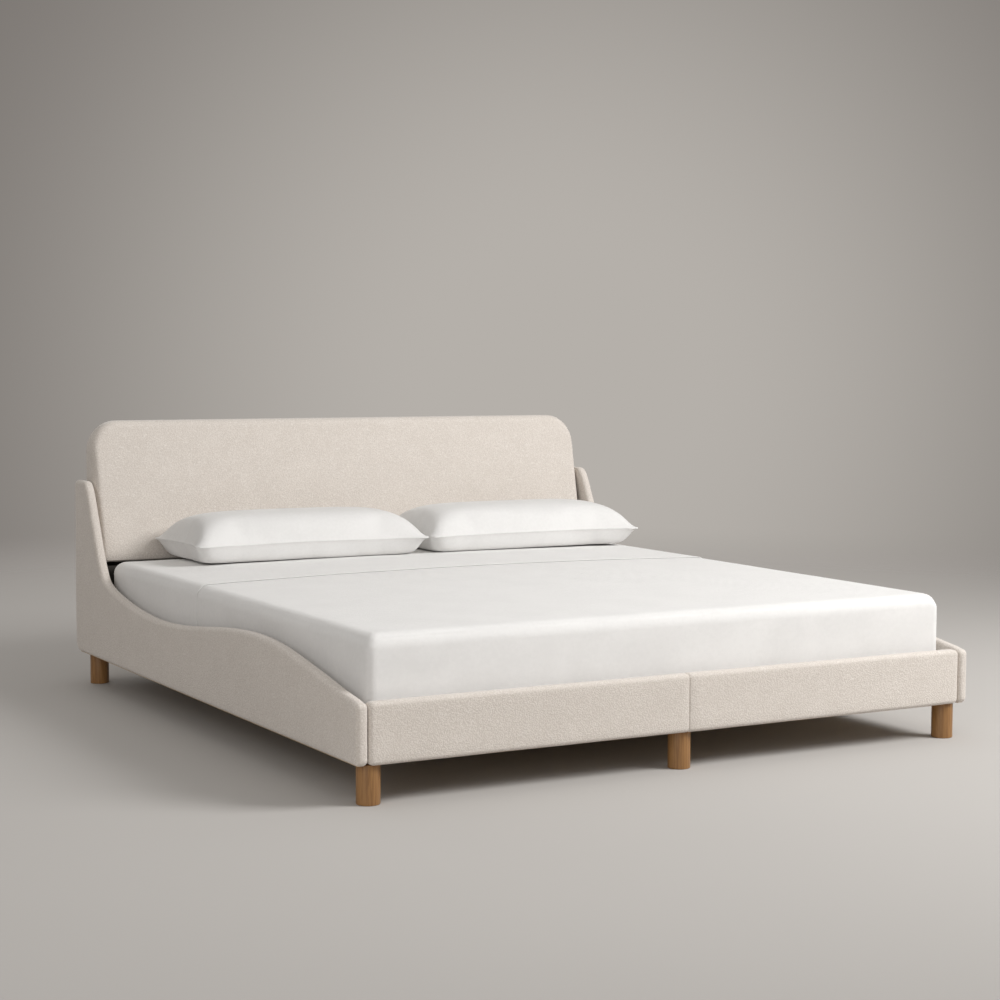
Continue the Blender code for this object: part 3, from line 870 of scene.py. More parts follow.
@dataclass
class SidePanel:
    """A side of the bed: foam and cloth over a board, low at the foot and rising into a wing."""

    name: str
    rim: float = 0.0135
    foot_corner: float = 0.017
    rear_low_corner: float = 0.036
    rear_top_corner: float = 0.020
    crest: tuple[float, float] = (0.680, 0.366)
    dip: tuple[float, float] = (1.480, 0.310)
    heel: tuple[float, float] = (0.305, 0.384)
    wing_edge: tuple[float, float] = (0.190, 0.567)
    wing_flat: float = 0.092
    foot_top: float = 0.272
    grid: float = 0.030
    ripple: float = 0.0009

    @property
    def node(self) -> str:
        """The solid that the panel's cover stands for."""
        return f"{self.name}_cover"

    def wave(self, foot: float, length: float, top: float) -> list[Vector]:
        """Top edge from the wing down to the foot.

        Args:
            foot: Y of the foot end.
            length: The panel's length.
            top: Height of the wing's top.

        Returns:
            Points as (Y, height).
        """
        level = Vector((-1, 0))
        wing_slope = Vector((-0.46, -0.89)).normalized()
        heel_slope = Vector((-0.82, -0.57)).normalized()
        foot_slope = Vector((-1, -0.13)).normalized()
        knots = [  # place from the foot, direction of travel, handle before, handle after
            (Vector((length - self.wing_flat, top)), level, 0, 0.035),
            (Vector((length - self.wing_edge[0], self.wing_edge[1])), wing_slope, 0.090, 0.060),
            (Vector((length - self.heel[0], self.heel[1])), heel_slope, 0.060, 0.050),
            (Vector(self.dip), level, 0.220, 0.300),
            (Vector(self.crest), level, 0.300, 0.230),
            (Vector((0, self.foot_top)), foot_slope, 0.230, 0),
        ]
        points = []
        for (start, leaving, _, reach), (end, arriving, hold, _) in zip(knots, knots[1:]):
            curve = interpolate_bezier(
                start, start + leaving * reach, end - arriving * hold, end, 19
            )
            points += [Vector((point[0] + foot, point[1])) for point in curve[:-1]]
        return points

    def build(self) -> bpy.types.Object:
        """Builds the cover as one closed, cushioned slab."""
        low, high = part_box(self.node)
        foot, head, bottom, top = low.y, high.y, low.z, high.z
        base = rounded(
            [
                (foot, bottom, self.foot_corner),
                (head, bottom, self.rear_low_corner),
                (head, top, self.rear_top_corner),
                (foot, top, 0),
            ]
        )[:-1]
        corner = rounded(
            [(head, self.foot_top, 0), (foot, self.foot_top, self.foot_corner), (foot, bottom, 0)]
        )[1:-1]
        wave = [
            point for point in self.wave(foot, head - foot, top)
            if point.x > foot + self.foot_corner
        ]
        piece = add_slab(self.name + "_upholstery", base + wave + corner, Plane.SIDE, low.x, high.x)
        round_rim(piece, Axis.X, self.rim)
        with Edit(piece) as edit:
            edit.slice(Axis.Y, steps(foot, head, self.grid))
            edit.slice(Axis.Z, steps(bottom, top, self.grid))
            edit.move_points(lambda place: self.cushioned(place, (low.x + high.x) / 2))
            edit.tidy()
        smooth(piece, 60)
        return piece

    def cushioned(self, place: Vector, middle: float) -> Vector:
        """Lets the cloth of a flat side ripple a little.

        Args:
            place: A point of the slab.
            middle: X of the middle of its thickness.

        Returns:
            The moved point.
        """
        outwards = 1 if place.x > middle else -1
        uneven = noise.noise(place * 5.5) + 0.5 * noise.noise(place * 14)
        return place + Vector((outwards * self.ripple * uneven, 0, self.ripple * uneven * 0.4))

    def dress(self, shop: Workshop) -> None:
        """Builds the cover, clothes it and finishes the board inside."""
        piece = self.build()
        hand_over(piece, Body.FRAME, shop.weave, [self.node])
        dress_node(self.name + "_board", shop.plywood(Axis.X))


@dataclass
class FootPanel:
    """The low panel across the foot, with a seam down its middle."""

    rim: float = 0.0125
    corner: float = 0.016
    grid: float = 0.030
    seam_width: float = 0.0045
    seam_depth: float = 0.0030
    ripple: float = 0.0009

    def build(self) -> bpy.types.Object:
        """Builds the cover as one closed, cushioned slab."""
        low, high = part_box("foot_panel_cover")
        outline = rounded(
            [
                (low.x, low.z, self.corner),
                (high.x, low.z, self.corner),
                (high.x, high.z, self.corner),
                (low.x, high.z, self.corner),
            ]
        )
        piece = add_slab("foot_panel_upholstery", outline, Plane.FRONT, low.y, high.y)
        round_rim(piece, Axis.Y, self.rim)
        seam = [self.seam_width * share for share in (-1.0, -0.5, -0.2, 0.0, 0.2, 0.5, 1.0)]
        with Edit(piece) as edit:
            edit.slice(Axis.X, [x for x in steps(low.x, high.x, self.grid) if abs(x) > 0.01])
            edit.slice(Axis.X, seam)
            edit.slice(Axis.Z, steps(low.z, high.z, self.grid))
            middle = (low + high) / 2
            edit.move_points(lambda place: self.cushioned(place, middle))
            edit.tidy()
        smooth(piece, 60)
        return piece

    def cushioned(self, place: Vector, middle: Vector) -> Vector:
        """Pulls the seam in and lets the cloth ripple.

        Args:
            place: A point of the slab.
            middle: The slab's middle.

        Returns:
            The moved point.
        """
        outwards = Vector((0, place.y - middle.y, (place.z - middle.z) * 0.2)).normalized()
        groove = self.seam_depth * math.exp(-((place.x / (self.seam_width * 0.45)) ** 2))
        uneven = noise.noise(place * 5.5) + 0.5 * noise.noise(place * 14)
        return place + outwards * (self.ripple * uneven - groove)

    def dress(self, shop: Workshop) -> None:
        """Builds the cover, clothes it and finishes the board inside."""
        piece = self.build()
        hand_over(piece, Body.FRAME, shop.weave, ["foot_panel_cover"])
        dress_node("foot_panel_board", shop.plywood(Axis.Y))


@dataclass
class Headboard:
    """The raked pad between the wings, its board and its thin back cover."""

    corner: float = 0.105
    edge: float = 0.022
    depth_top: float = 0.046
    depth_bottom: float = 0.148
    board_thickness: float = 0.018
    grid: float = 0.030
    ripple: float = 0.0016
    lower_edge: float = 0.40
    hang: float = 0.021

    def outline(self, low: Vector, high: Vector, bottom_corner: float) -> list[Vector]:
        """The pad seen from the front.

        Args:
            low: Lowest corner of its box.
            high: Highest corner of its box.
            bottom_corner: Radius of its lower corners.

        Returns:
            The outline, anticlockwise.
        """
        return rounded(
            [
                (low.x, low.z, bottom_corner),
                (high.x, low.z, bottom_corner),
                (high.x, high.z, self.corner),
                (low.x, high.z, self.corner),
            ],
            14,
        )

    def build_pad(self) -> bpy.types.Object:
        """Builds the pad: an even slab, rounded, whose front is then raked."""
        low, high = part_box("headboard_pad")
        piece = add_slab(
            "headboard_upholstery", self.outline(low, high, 0.012), Plane.FRONT,
            high.y - self.depth_top, high.y,
        )
        front = high.y - self.depth_top
        with Edit(piece, "EDGE") as edit:
            edit.select(
                lambda edge: all(v.co.y < front + 0.001 for v in edge.verts)
                and any(abs(f.normal.y) < 0.5 for f in edge.link_faces)
            )
            bpy.ops.mesh.bevel(
                offset=self.edge, offset_type="OFFSET", segments=8, profile=0.5,
                affect="EDGES", clamp_overlap=False,
            )
            edit.tidy()
        with Edit(piece) as edit:
            edit.slice(Axis.X, steps(low.x, high.x, self.grid))
            edit.slice(Axis.Z, steps(low.z, high.z, self.grid))
            edit.move_points(lambda place: self.raked(place, low, high))
            edit.tidy()
        smooth(piece, 60)
        return piece

    def raked(self, place: Vector, low: Vector, high: Vector) -> Vector:
        """Brings the front of the pad forward towards its foot, and lets the cloth ripple.

        Args:
            place: A point of the slab.
            low: Lowest corner of the pad's box.
            high: Highest corner of the pad's box.

        Returns:
            The moved point.
        """
        above = place.z - low.z
        if above < self.edge:
            place.z = low.z + above * self.lower_edge
        place.z -= self.hang * max(0.0, 1 - above / 0.15)
        down = (high.z - place.z) / (high.z - low.z)
        forward = (high.y - place.y) / self.depth_top
        extra = (self.depth_bottom - self.depth_top) * down * forward
        uneven = noise.noise(place * 4.0) + 0.4 * noise.noise(place * 11)
        return place - Vector((0, extra + self.ripple * uneven * forward, 0))

    def build_back(self) -> bpy.types.Object:
        """Builds the thin cover over the board's back."""
        low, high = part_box("headboard_back_cover")
        piece = add_slab(
            "headboard_back_cloth", self.outline(low, high, 0.004), Plane.FRONT, low.y, high.y
        )
        with Edit(piece, "EDGE") as edit:
            edit.select(
                lambda edge: all(v.co.y > high.y - 0.0005 for v in edge.verts)
                and any(abs(f.normal.y) < 0.5 for f in edge.link_faces)
            )
            bpy.ops.mesh.bevel(
                offset=0.005, offset_type="OFFSET", segments=4, profile=0.5, affect="EDGES",
                clamp_overlap=False,
            )
            edit.tidy()
        with Edit(piece) as edit:
            edit.slice(Axis.X, steps(low.x, high.x, 0.060))
            edit.slice(Axis.Z, steps(low.z, high.z, 0.060))
            edit.tidy()
        smooth(piece, 60)
        return piece

    def dress(self, shop: Workshop) -> None:
        """Builds and finishes the headboard."""
        pad = hand_over(
            self.build_pad(), Body.FRAME, shop.weave, ["headboard_pad"]
        )
        back = hand_over(
            self.build_back(), Body.FRAME, shop.weave, ["headboard_back_cover"]
        )
        dress_node("headboard_board", shop.plywood(Axis.Y))
        dress_node("head_rail", shop.plywood(Axis.Y))


# ---------------------------------------------------------------- base


@dataclass
class Leg:
    """A round turned leg with a softened lower edge and a bore for its bolt."""

    where: str
    edge: float = 0.004
    bore: float = 0.0045
    bore_depth: float = 0.0355
    sides: int = 64

    def build(self) -> bpy.types.Object:
        """Turns the leg from a cylinder."""
        low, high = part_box(f"leg_{self.where}")
        centre = (low + high) / 2
        radius = (high.x - low.x) / 2
        deselect_all()
        bpy.ops.mesh.primitive_cylinder_add(
            vertices=self.sides, radius=radius, depth=high.z - low.z, location=centre
        )
        piece = bpy.context.object
        piece.name = piece.data.name = f"leg_{self.where}_turned"
        settle(piece)
        with Edit(piece) as edit:
            edit.select(lambda face: face.normal.z > 0.9)
            bpy.ops.mesh.inset(thickness=radius - self.bore, depth=0)
            bpy.ops.mesh.extrude_region_move(
                TRANSFORM_OT_translate={"value": (0, 0, -self.bore_depth)}
            )
        with Edit(piece, "EDGE") as edit:
            edit.select(
                lambda edge: all(v.co.z < low.z + 0.0005 for v in edge.verts)
                or all(
                    v.co.z > high.z - 0.0005 and (v.co - centre).xy.length > radius - 0.0005
                    for v in edge.verts
                )
            )
            bpy.ops.mesh.bevel(offset=self.edge * 0.6, segments=4, profile=0.5, affect="EDGES")
            edit.tidy()
        smooth(piece, 35)
        return piece

    def dress(self, shop: Workshop) -> None:
        """Builds and finishes the leg, its bolt and the block above it."""
        hand_over(
            self.build(), Body.FRAME, shop.timber(Slot.OAK, Axis.Z),
            [f"leg_{self.where}"],
        )
        dress_node(f"leg_bolt_{self.where}", shop.zinc)
        dress_node(f"leg_block_{self.where}", shop.timber(Slot.PINE, Axis.X))


@dataclass
class Batten:
    """A planed length of timber with softened arrises."""

    node: str
    grain: Axis
    arris: float = 0.002

    def build(self) -> bpy.types.Object:
        """Builds the batten from a cube at its solid's size and place."""
        low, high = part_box(self.node)
        deselect_all()
        bpy.ops.mesh.primitive_cube_add(size=1.0, location=(low + high) / 2)
        piece = bpy.context.object
        piece.name = piece.data.name = f"{self.node}_planed"
        with Edit(piece):
            bpy.ops.mesh.select_all(action="SELECT")
            bpy.ops.transform.resize(value=high - low, center_override=(low + high) / 2)
        with Edit(piece, "EDGE"):
            bpy.ops.mesh.select_all(action="SELECT")
            bpy.ops.mesh.bevel(offset=self.arris, segments=3, profile=0.5, affect="EDGES")
        smooth(piece, 35)
        return piece

    def dress(self, shop: Workshop) -> None:
        """Builds and finishes the batten."""
        hand_over(
            self.build(), Body.FRAME, shop.timber(Slot.PINE, self.grain), [self.node]
        )


@dataclass
class Base:
    """Everything that carries the mattress: slats, ledgers, the centre rail and its supports."""

    def dress(self, shop: Workshop) -> None:
        """Builds and finishes the base."""
        for name in sorted(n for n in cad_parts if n.startswith("slat_")):
            if name.startswith("slat_strap"):
                dress_node(name, shop.webbing)
            else:
                Batten(name, Axis.X).dress(shop)
        for name in ("side_ledger_left", "side_ledger_right", "centre_rail"):
            Batten(name, Axis.Y).dress(shop)
        for name in sorted(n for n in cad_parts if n.startswith("centre_support")):
            dress_node(name, shop.timber(Slot.PINE, Axis.Z))
        for name in sorted(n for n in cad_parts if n.startswith("levelling_glide")):
            dress_node(name, shop.nylon)
        for name in sorted(
            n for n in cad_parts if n.startswith(("rail_hanger", "corner_bracket"))
        ):
            dress_node(name, shop.zinc)


@dataclass
class Lining:
    """Cloth over the head rail and over the board's front below the pad, near black as painted shade
    for the slot between the pad and the mattress.
    """

    wall: float = 0.0010
    ease: float = 0.0004
    front_drop: float = 0.150
    rear_drop: float = 0.060
    apron_drop: float = 0.150
    inset: float = 0.002
    below_pad: float = 0.023

    def add_strip(self, name: str, low: Vector, high: Vector) -> bpy.types.Object:
        """An upright strip of cloth, as a grid across the bed.

        Args:
            name: The strip's name.
            low: Lower left corner.
            high: Upper right corner.

        Returns:
            The strip, still without a wall.
        """
        deselect_all()
        middle = (low + high) / 2
        bpy.ops.mesh.primitive_plane_add(size=1.0, location=middle, rotation=(math.pi / 2, 0, 0))
        piece = bpy.context.object
        piece.name = piece.data.name = name
        settle(piece)
        with Edit(piece) as edit:
            bpy.ops.mesh.select_all(action="SELECT")
            bpy.ops.transform.resize(
                value=(high.x - low.x, 1.0, high.z - low.z), center_override=middle
            )
            edit.slice(Axis.X, steps(low.x, high.x, 0.060))
        return piece

    def thicken(self, piece: bpy.types.Object) -> None:
        """Gives a strip its wall."""
        wall = piece.modifiers.new("wall", "SOLIDIFY")
        wall.thickness = self.wall
        wall.offset = 1
        apply_modifier(piece, "wall")
        smooth(piece, 50)

    def dress(self, shop: Workshop) -> None:
        """Builds and finishes both linings."""
        low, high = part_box("head_rail")
        front = low.y - self.ease
        left, right = low.x + self.inset, high.x - self.inset
        top = high.z + self.ease
        wrap = self.add_strip(
            "head_rail_lining", Vector((left, front, top - self.front_drop)),
            Vector((right, front, top)),
        )
        with Edit(wrap, "EDGE") as edit:
            edit.select(lambda edge: all(v.co.z > top - 0.0001 for v in edge.verts))
            depth = high.y + self.ease - front
            for travel in ((0, depth, 0), (0, 0, -self.rear_drop)):
                bpy.ops.mesh.extrude_region_move(TRANSFORM_OT_translate={"value": travel})
            edit.tidy()
        self.thicken(wrap)
        hand_over(wrap, Body.FRAME, shop.lining)
        board_low, board_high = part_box("headboard_board")
        pad_low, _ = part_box("headboard_pad")
        apron_front = board_low.y - self.ease
        apron_top = pad_low.z - self.below_pad
        # The apron is a sheet hung below the pad where there is only shade; its near-black cloth is
        # painted shade.
        apron = self.add_strip(
            "headboard_apron",
            Vector((board_low.x + self.inset, apron_front, apron_top - self.apron_drop)),
            Vector((board_high.x - self.inset, apron_front, apron_top)),
        )
        self.thicken(apron)
        hand_over(apron, Body.FRAME, shop.lining)


@dataclass
class Fasteners:
    """Pan-head screws in the corner brackets and the rail hangers."""

    head: float = 0.0046
    height: float = 0.0026
    recess: float = 0.0018
    recess_depth: float = 0.0014
    sides: int = 20
    bracket_wall: float = 0.0025
    from_corner: float = 0.038
    lift: float = 0.0002

    def build_screw(self) -> bpy.types.Object:
        """One screw head, standing on the origin and facing up."""
        deselect_all()
        bpy.ops.mesh.primitive_cylinder_add(
            vertices=self.sides, radius=self.head, depth=self.height,
            location=(0, 0, self.height / 2),
        )
        screw = bpy.context.object
        settle(screw)
        with Edit(screw, "EDGE") as edit:
            edit.select(lambda edge: all(v.co.z > self.height - 0.0001 for v in edge.verts))
            bpy.ops.mesh.bevel(offset=self.height * 0.45, segments=3, affect="EDGES")
        with Edit(screw) as edit:
            edit.select(lambda face: face.normal.z > 0.99)
            bpy.ops.mesh.inset(thickness=self.head - self.height * 0.45 - self.recess, depth=0)
            bpy.ops.mesh.extrude_region_move(
                TRANSFORM_OT_translate={"value": (0, 0, -self.recess_depth)}
            )
            bpy.ops.transform.resize(value=(0.4, 0.4, 1.0), center_override=(0, 0, 0))
            edit.tidy(0.00001)
        return screw

    def set_screws(
        self, name: str, screw: bpy.types.Object, seats: Sequence[tuple[Vector, Vector]],
        shop: Workshop,
    ) -> None:
        """Copies the screw to its seats, as one piece.

        Args:
            name: The piece's name.
            screw: The screw to copy.
            seats: Where each copy stands and which way it faces.
            shop: The finishes.
        """
        copies = []
        for place, facing in seats:
            copy = screw.copy()
            copy.data = screw.data.copy()
            bpy.context.scene.collection.objects.link(copy)
            turn = facing.to_track_quat("Z", "Y").to_matrix().to_4x4()
            copy.data.transform(Matrix.Translation(place + facing * self.lift) @ turn)
            copies.append(copy)
        deselect_all()
        for copy in copies:
            copy.select_set(True)
        bpy.context.view_layer.objects.active = copies[0]
        bpy.ops.object.join()
        joined = bpy.context.object
        joined.name = joined.data.name = name
        smooth(joined, 35)
        hand_over(joined, Body.FRAME, shop.zinc)

    def bracket_seats(self, node: str) -> list[tuple[Vector, Vector]]:
        """Two seats on each leaf of a corner bracket."""
        low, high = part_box(node)
        left = low.x < 0
        side_face = low.x + self.bracket_wall if left else high.x - self.bracket_wall
        inwards = Vector((1, 0, 0)) if left else Vector((-1, 0, 0))
        across = low.x + self.from_corner if left else high.x - self.from_corner
        seats = []
        for share in (0.26, 0.74):
            z = low.z + (high.z - low.z) * share
            seats.append((Vector((side_face, low.y + self.from_corner, z)), inwards))
            seats.append((Vector((across, low.y + self.bracket_wall, z)), Vector((0, 1, 0))))
        return seats

    def hanger_seats(self, node: str) -> list[tuple[Vector, Vector]]:
        """Two seats on each cheek of a rail hanger."""
        low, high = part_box(node)
        middle = (low.y + high.y) / 2
        seats = []
        for share in (0.35, 0.75):
            z = low.z + (high.z - low.z) * share
            seats.append((Vector((low.x, middle, z)), Vector((-1, 0, 0))))
            seats.append((Vector((high.x, middle, z)), Vector((1, 0, 0))))
        return seats

    def dress(self, shop: Workshop) -> None:
        """Sets and finishes all the screws."""
        screw = self.build_screw()
        for node in sorted(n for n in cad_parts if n.startswith("corner_bracket")):
            self.set_screws(f"{node}_screws", screw, self.bracket_seats(node), shop)
        for node in sorted(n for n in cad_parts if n.startswith("rail_hanger")):
            self.set_screws(f"{node}_screws", screw, self.hanger_seats(node), shop)
        bpy.data.objects.remove(screw)


# ---------------------------------------------------------------- bedding


@dataclass
class BedTop:
    """The made-up mattress's outer surface: its box, and a slight crown."""

    low: Vector
    high: Vector
    crown: float = 0.016

    def rise(self, x: float, y: float) -> float:
        """How far the top stands above its edges at a place."""
        middle, half = (self.low + self.high) / 2, (self.high - self.low) / 2
        u, v = (x - middle.x) / half.x, (y - middle.y) / half.y
        return self.crown * max(0.0, 1 - u * u) * max(0.0, 1 - v * v)

    def undulation(self, place: Vector) -> float:
        """Slow unevenness of the cloth, from about -1 to 1."""
        return noise.noise(place * 3.1) + 0.5 * noise.noise(place * 8.3)


@dataclass
class Bedding:
    """The mattress, the fitted sheet and the top sheet folded back over the head half."""

    edge: float = 0.040
    foot_corner: float = 0.044
    head_corner: float = 0.056
    squareness: float = 5.0
    grid: float = 0.028
    sheet: float = 0.002
    ease: float = 0.0006
    undulate: float = 0.0008
    pucker: float = 0.0028
    dart: float = 0.0009
    hem: float = 0.026
    hem_step: float = 0.0007
    stitch_depth: float = 0.0004
    side_tuck: float = 0.0020

    @property
    def top(self) -> BedTop:
        """The made-up mattress's outer surface."""
        low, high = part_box("fitted_sheet")
        upper_low, upper_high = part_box("top_sheet")
        return BedTop(
            Vector((upper_low.x, low.y - self.sheet - self.ease, low.z)),
            Vector((upper_high.x, upper_high.y, upper_high.z)),
        )

    def edge_height(self, bed_top: BedTop) -> float:
        """Height of the made-up mattress's top along its edges."""
        middle_y = (bed_top.low.y + bed_top.high.y) / 2
        nearest = max(middle_y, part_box("top_sheet")[0].y)
        return bed_top.high.z - bed_top.rise(0.0, nearest)

    def build_block(
        self, name: str, low: Vector, high: Vector, edge: float, corners: Sequence[float]
    ) -> bpy.types.Object:
        """A block with round corners in plan and a rounded top edge.

        Args:
            name: The piece's name.
            low: Lowest corner.
            high: Highest corner, at the height of the top's edges.
            edge: Radius of the top edge.
            corners: Plan radii at the foot end and the head end.

        Returns:
            The block.
        """
        foot, head = corners
        outline = rounded(
            [
                (low.x, low.y, foot), (high.x, low.y, foot),
                (high.x, high.y, head), (low.x, high.y, head),
            ],
            12,
        )
        piece = add_slab(name, outline, Plane.FLAT, low.z, high.z)
        with Edit(piece, "EDGE") as edit:
            edit.select(
                lambda item: all(v.co.z > high.z - 0.001 for v in item.verts)
                and any(abs(f.normal.z) < 0.5 for f in item.link_faces)
            )
            bpy.ops.mesh.bevel(
                offset=edge, offset_type="OFFSET", segments=8, profile=0.5, affect="EDGES",
                clamp_overlap=False,
            )
            edit.tidy()
        with Edit(piece) as edit:
            inset = max(corners) + 0.001
            edit.slice(Axis.X, steps(low.x + inset, high.x - inset, self.grid))
            edit.slice(Axis.Y, steps(low.y + inset, high.y - inset, self.grid))
            edit.slice(Axis.Z, steps(low.z, high.z - edge, self.grid))
            edit.tidy()
            edit.move_points(lambda place: self.squared(place, low, high, corners))
        return piece

    def squared(
        self, place: Vector, low: Vector, high: Vector, corners: Sequence[float]
    ) -> Vector:
        """Draws a point of a round plan corner out towards a square corner.

        Args:
            place: A point of the block.
            low: Lowest corner of the block.
            high: Highest corner of the block.
            corners: Plan radii at the foot end and the head end.

        Returns:
            The moved point.
        """
        at_foot = place.y < (low.y + high.y) / 2
        radius = corners[0] if at_foot else corners[1]
        side = low.x + radius if place.x < 0 else high.x - radius
        end = low.y + radius if at_foot else high.y - radius
        out_x = (side - place.x) if place.x < 0 else (place.x - side)
        out_y = (end - place.y) if at_foot else (place.y - end)
        if out_x <= 0 or out_y <= 0:
            return place
        reach = math.hypot(out_x, out_y)
        power = self.squareness
        shares = (out_x / reach) ** power + (out_y / reach) ** power
        stretch = shares ** (-1 / power) - 1
        return place + Vector(
            (stretch * (place.x - side), stretch * (place.y - end), 0)
        )

    def crowned(self, piece: bpy.types.Object, top: BedTop, height: float, wavy: float) -> None:
        """Crowns a block's upper part and lets its cloth undulate.

        Args:
            piece: The block.
            top: The surface that it follows.
            height: The block's own height at its edges.
            wavy: How far its cloth undulates.
        """
        start = (top.low.z + height) / 2

        def lift(place: Vector) -> Vector:
            share = min(1.0, max(0.0, (place.z - start) / (height - start)))
            return place + Vector((0, 0, top.rise(place.x, place.y) * share))

        with Edit(piece) as edit:
            edit.move_points(lift)
            if wavy:
                edit.push(lambda place: -wavy * abs(top.undulation(place)))

    def open_shell(self, piece: bpy.types.Object) -> None:
        """Takes away a sheet's underside and gives the rest a wall."""
        with Edit(piece) as edit:
            edit.select(lambda face: face.normal.z < -0.9)
            bpy.ops.mesh.delete(type="FACE")
        wall = piece.modifiers.new("wall", "SOLIDIFY")
        wall.thickness = self.sheet
        wall.offset = -1
        apply_modifier(piece, "wall")
        smooth(piece, 60)

    def dress_mattress(self, shop: Workshop, top: BedTop, height: float) -> None:
        """Builds the bare mattress."""
        low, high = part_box("mattress")
        level = Vector((high.x, high.y, height - 2 * (self.sheet + self.ease)))
        corners = (self.foot_corner, self.head_corner)
        piece = self.build_block("mattress_ticking", low, level, self.edge + self.sheet, corners)
        self.crowned(piece, top, level.z, 0.0)
        smooth(piece, 60)
        hand_over(piece, Body.MATTRESS, shop.ticking, ["mattress"])

    def puckered(self, place: Vector, low: Vector, high: Vector, level: float) -> float:
        """How far a fitted sheet is drawn in at its gathered foot corners.

        Args:
            place: A point of the sheet.
            low: Lowest corner of the sheet.
            high: Highest corner of the sheet.
            level: Height of the top's edges.

        Returns:
            The push along the normal, below 0 where it is drawn in.
        """
        side = low.x if place.x < 0 else high.x
        inwards = 1 if place.x < 0 else -1
        centre = Vector((side + inwards * self.foot_corner, low.y + self.foot_corner, 0))
        offset = Vector((place.x - centre.x, place.y - centre.y))
        if offset.x * inwards > 0.004 or offset.y > 0.004 or offset.length < 0.0005:
            return 0.0
        turn = math.degrees(math.atan2(-offset.y, -offset.x * inwards)) - 45
        fade = min(1.0, max(0.0, (level - place.z) / 0.05 + 0.6))
        dart = self.dart * math.exp(-((turn / 7) ** 2)) * fade
        gather = math.exp(-(((place.z - (level - 0.022)) / 0.011) ** 2) - (turn / 22) ** 2)
        return -dart - self.pucker * gather

    def dress_fitted(self, shop: Workshop, top: BedTop, height: float) -> None:
        """Builds the fitted sheet, gathered at its foot corners."""
        low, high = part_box("fitted_sheet")
        level = Vector((high.x, high.y, height - self.sheet - self.ease))
        corners = (self.foot_corner, self.head_corner)
        piece = self.build_block("fitted_sheet_cotton", low, level, self.edge, corners)
        self.crowned(piece, top, level.z, self.undulate)
        with Edit(piece) as edit:
            edit.push(lambda place: self.puckered(place, low, high, level.z))
        self.open_shell(piece)
        hand_over(piece, Body.MATTRESS, shop.percale, ["fitted_sheet"])
        drop = height - low.z
        flat = (high.x - low.x + 2 * drop, high.y - low.y + 2 * drop)

    def dress_top(self, shop: Workshop, top: BedTop, height: float) -> None:
        """Builds the top sheet: a longer block cut open at the hem, which is folded double."""
        low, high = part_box("top_sheet")
        beyond = Vector((low.x, low.y - 3 * self.edge, low.z))
        level = Vector((high.x, high.y, height))
        corners = (self.foot_corner, self.head_corner)
        piece = self.build_block("top_sheet_cotton", beyond, level, self.edge, corners)
        with Edit(piece) as edit:
            stitches = low.y + self.hem
            edit.slice(Axis.Y, [stitches + shift for shift in (-0.003, -0.001, 0.001, 0.004)])
            bpy.ops.mesh.select_all(action="SELECT")
            bpy.ops.mesh.bisect(
                plane_co=(0, low.y, 0), plane_no=(0, 1, 0), clear_inner=True, threshold=0.00002
            )
        self.crowned(piece, top, height, self.undulate)

        def doubled(place: Vector) -> float:
            step = self.hem_step if place.y < stitches else 0.0
            row = self.stitch_depth * math.exp(-(((place.y - stitches) / 0.0015) ** 2))
            down_side = min(1.0, max(0.0, 1 - (high.x - abs(place.x)) / self.edge))
            tuck = self.side_tuck * down_side * math.exp(-(((place.y - low.y) / 0.012) ** 2))
            return step - row - tuck

        with Edit(piece) as edit:
            edit.push(doubled)
        self.open_shell(piece)
        hand_over(piece, Body.MATTRESS, shop.percale, ["top_sheet"])
        drop = height - low.z
        flat = (high.x - low.x + 2 * drop, high.y - low.y + drop)

    def dress(self, shop: Workshop) -> None:
        """Builds and finishes the mattress and its sheets."""
        top = self.top
        height = self.edge_height(top)
        log.info("bed top at %.4f along its edges", height)
        self.dress_mattress(shop, top, height)
        self.dress_fitted(shop, top, height)
        self.dress_top(shop, top, height)


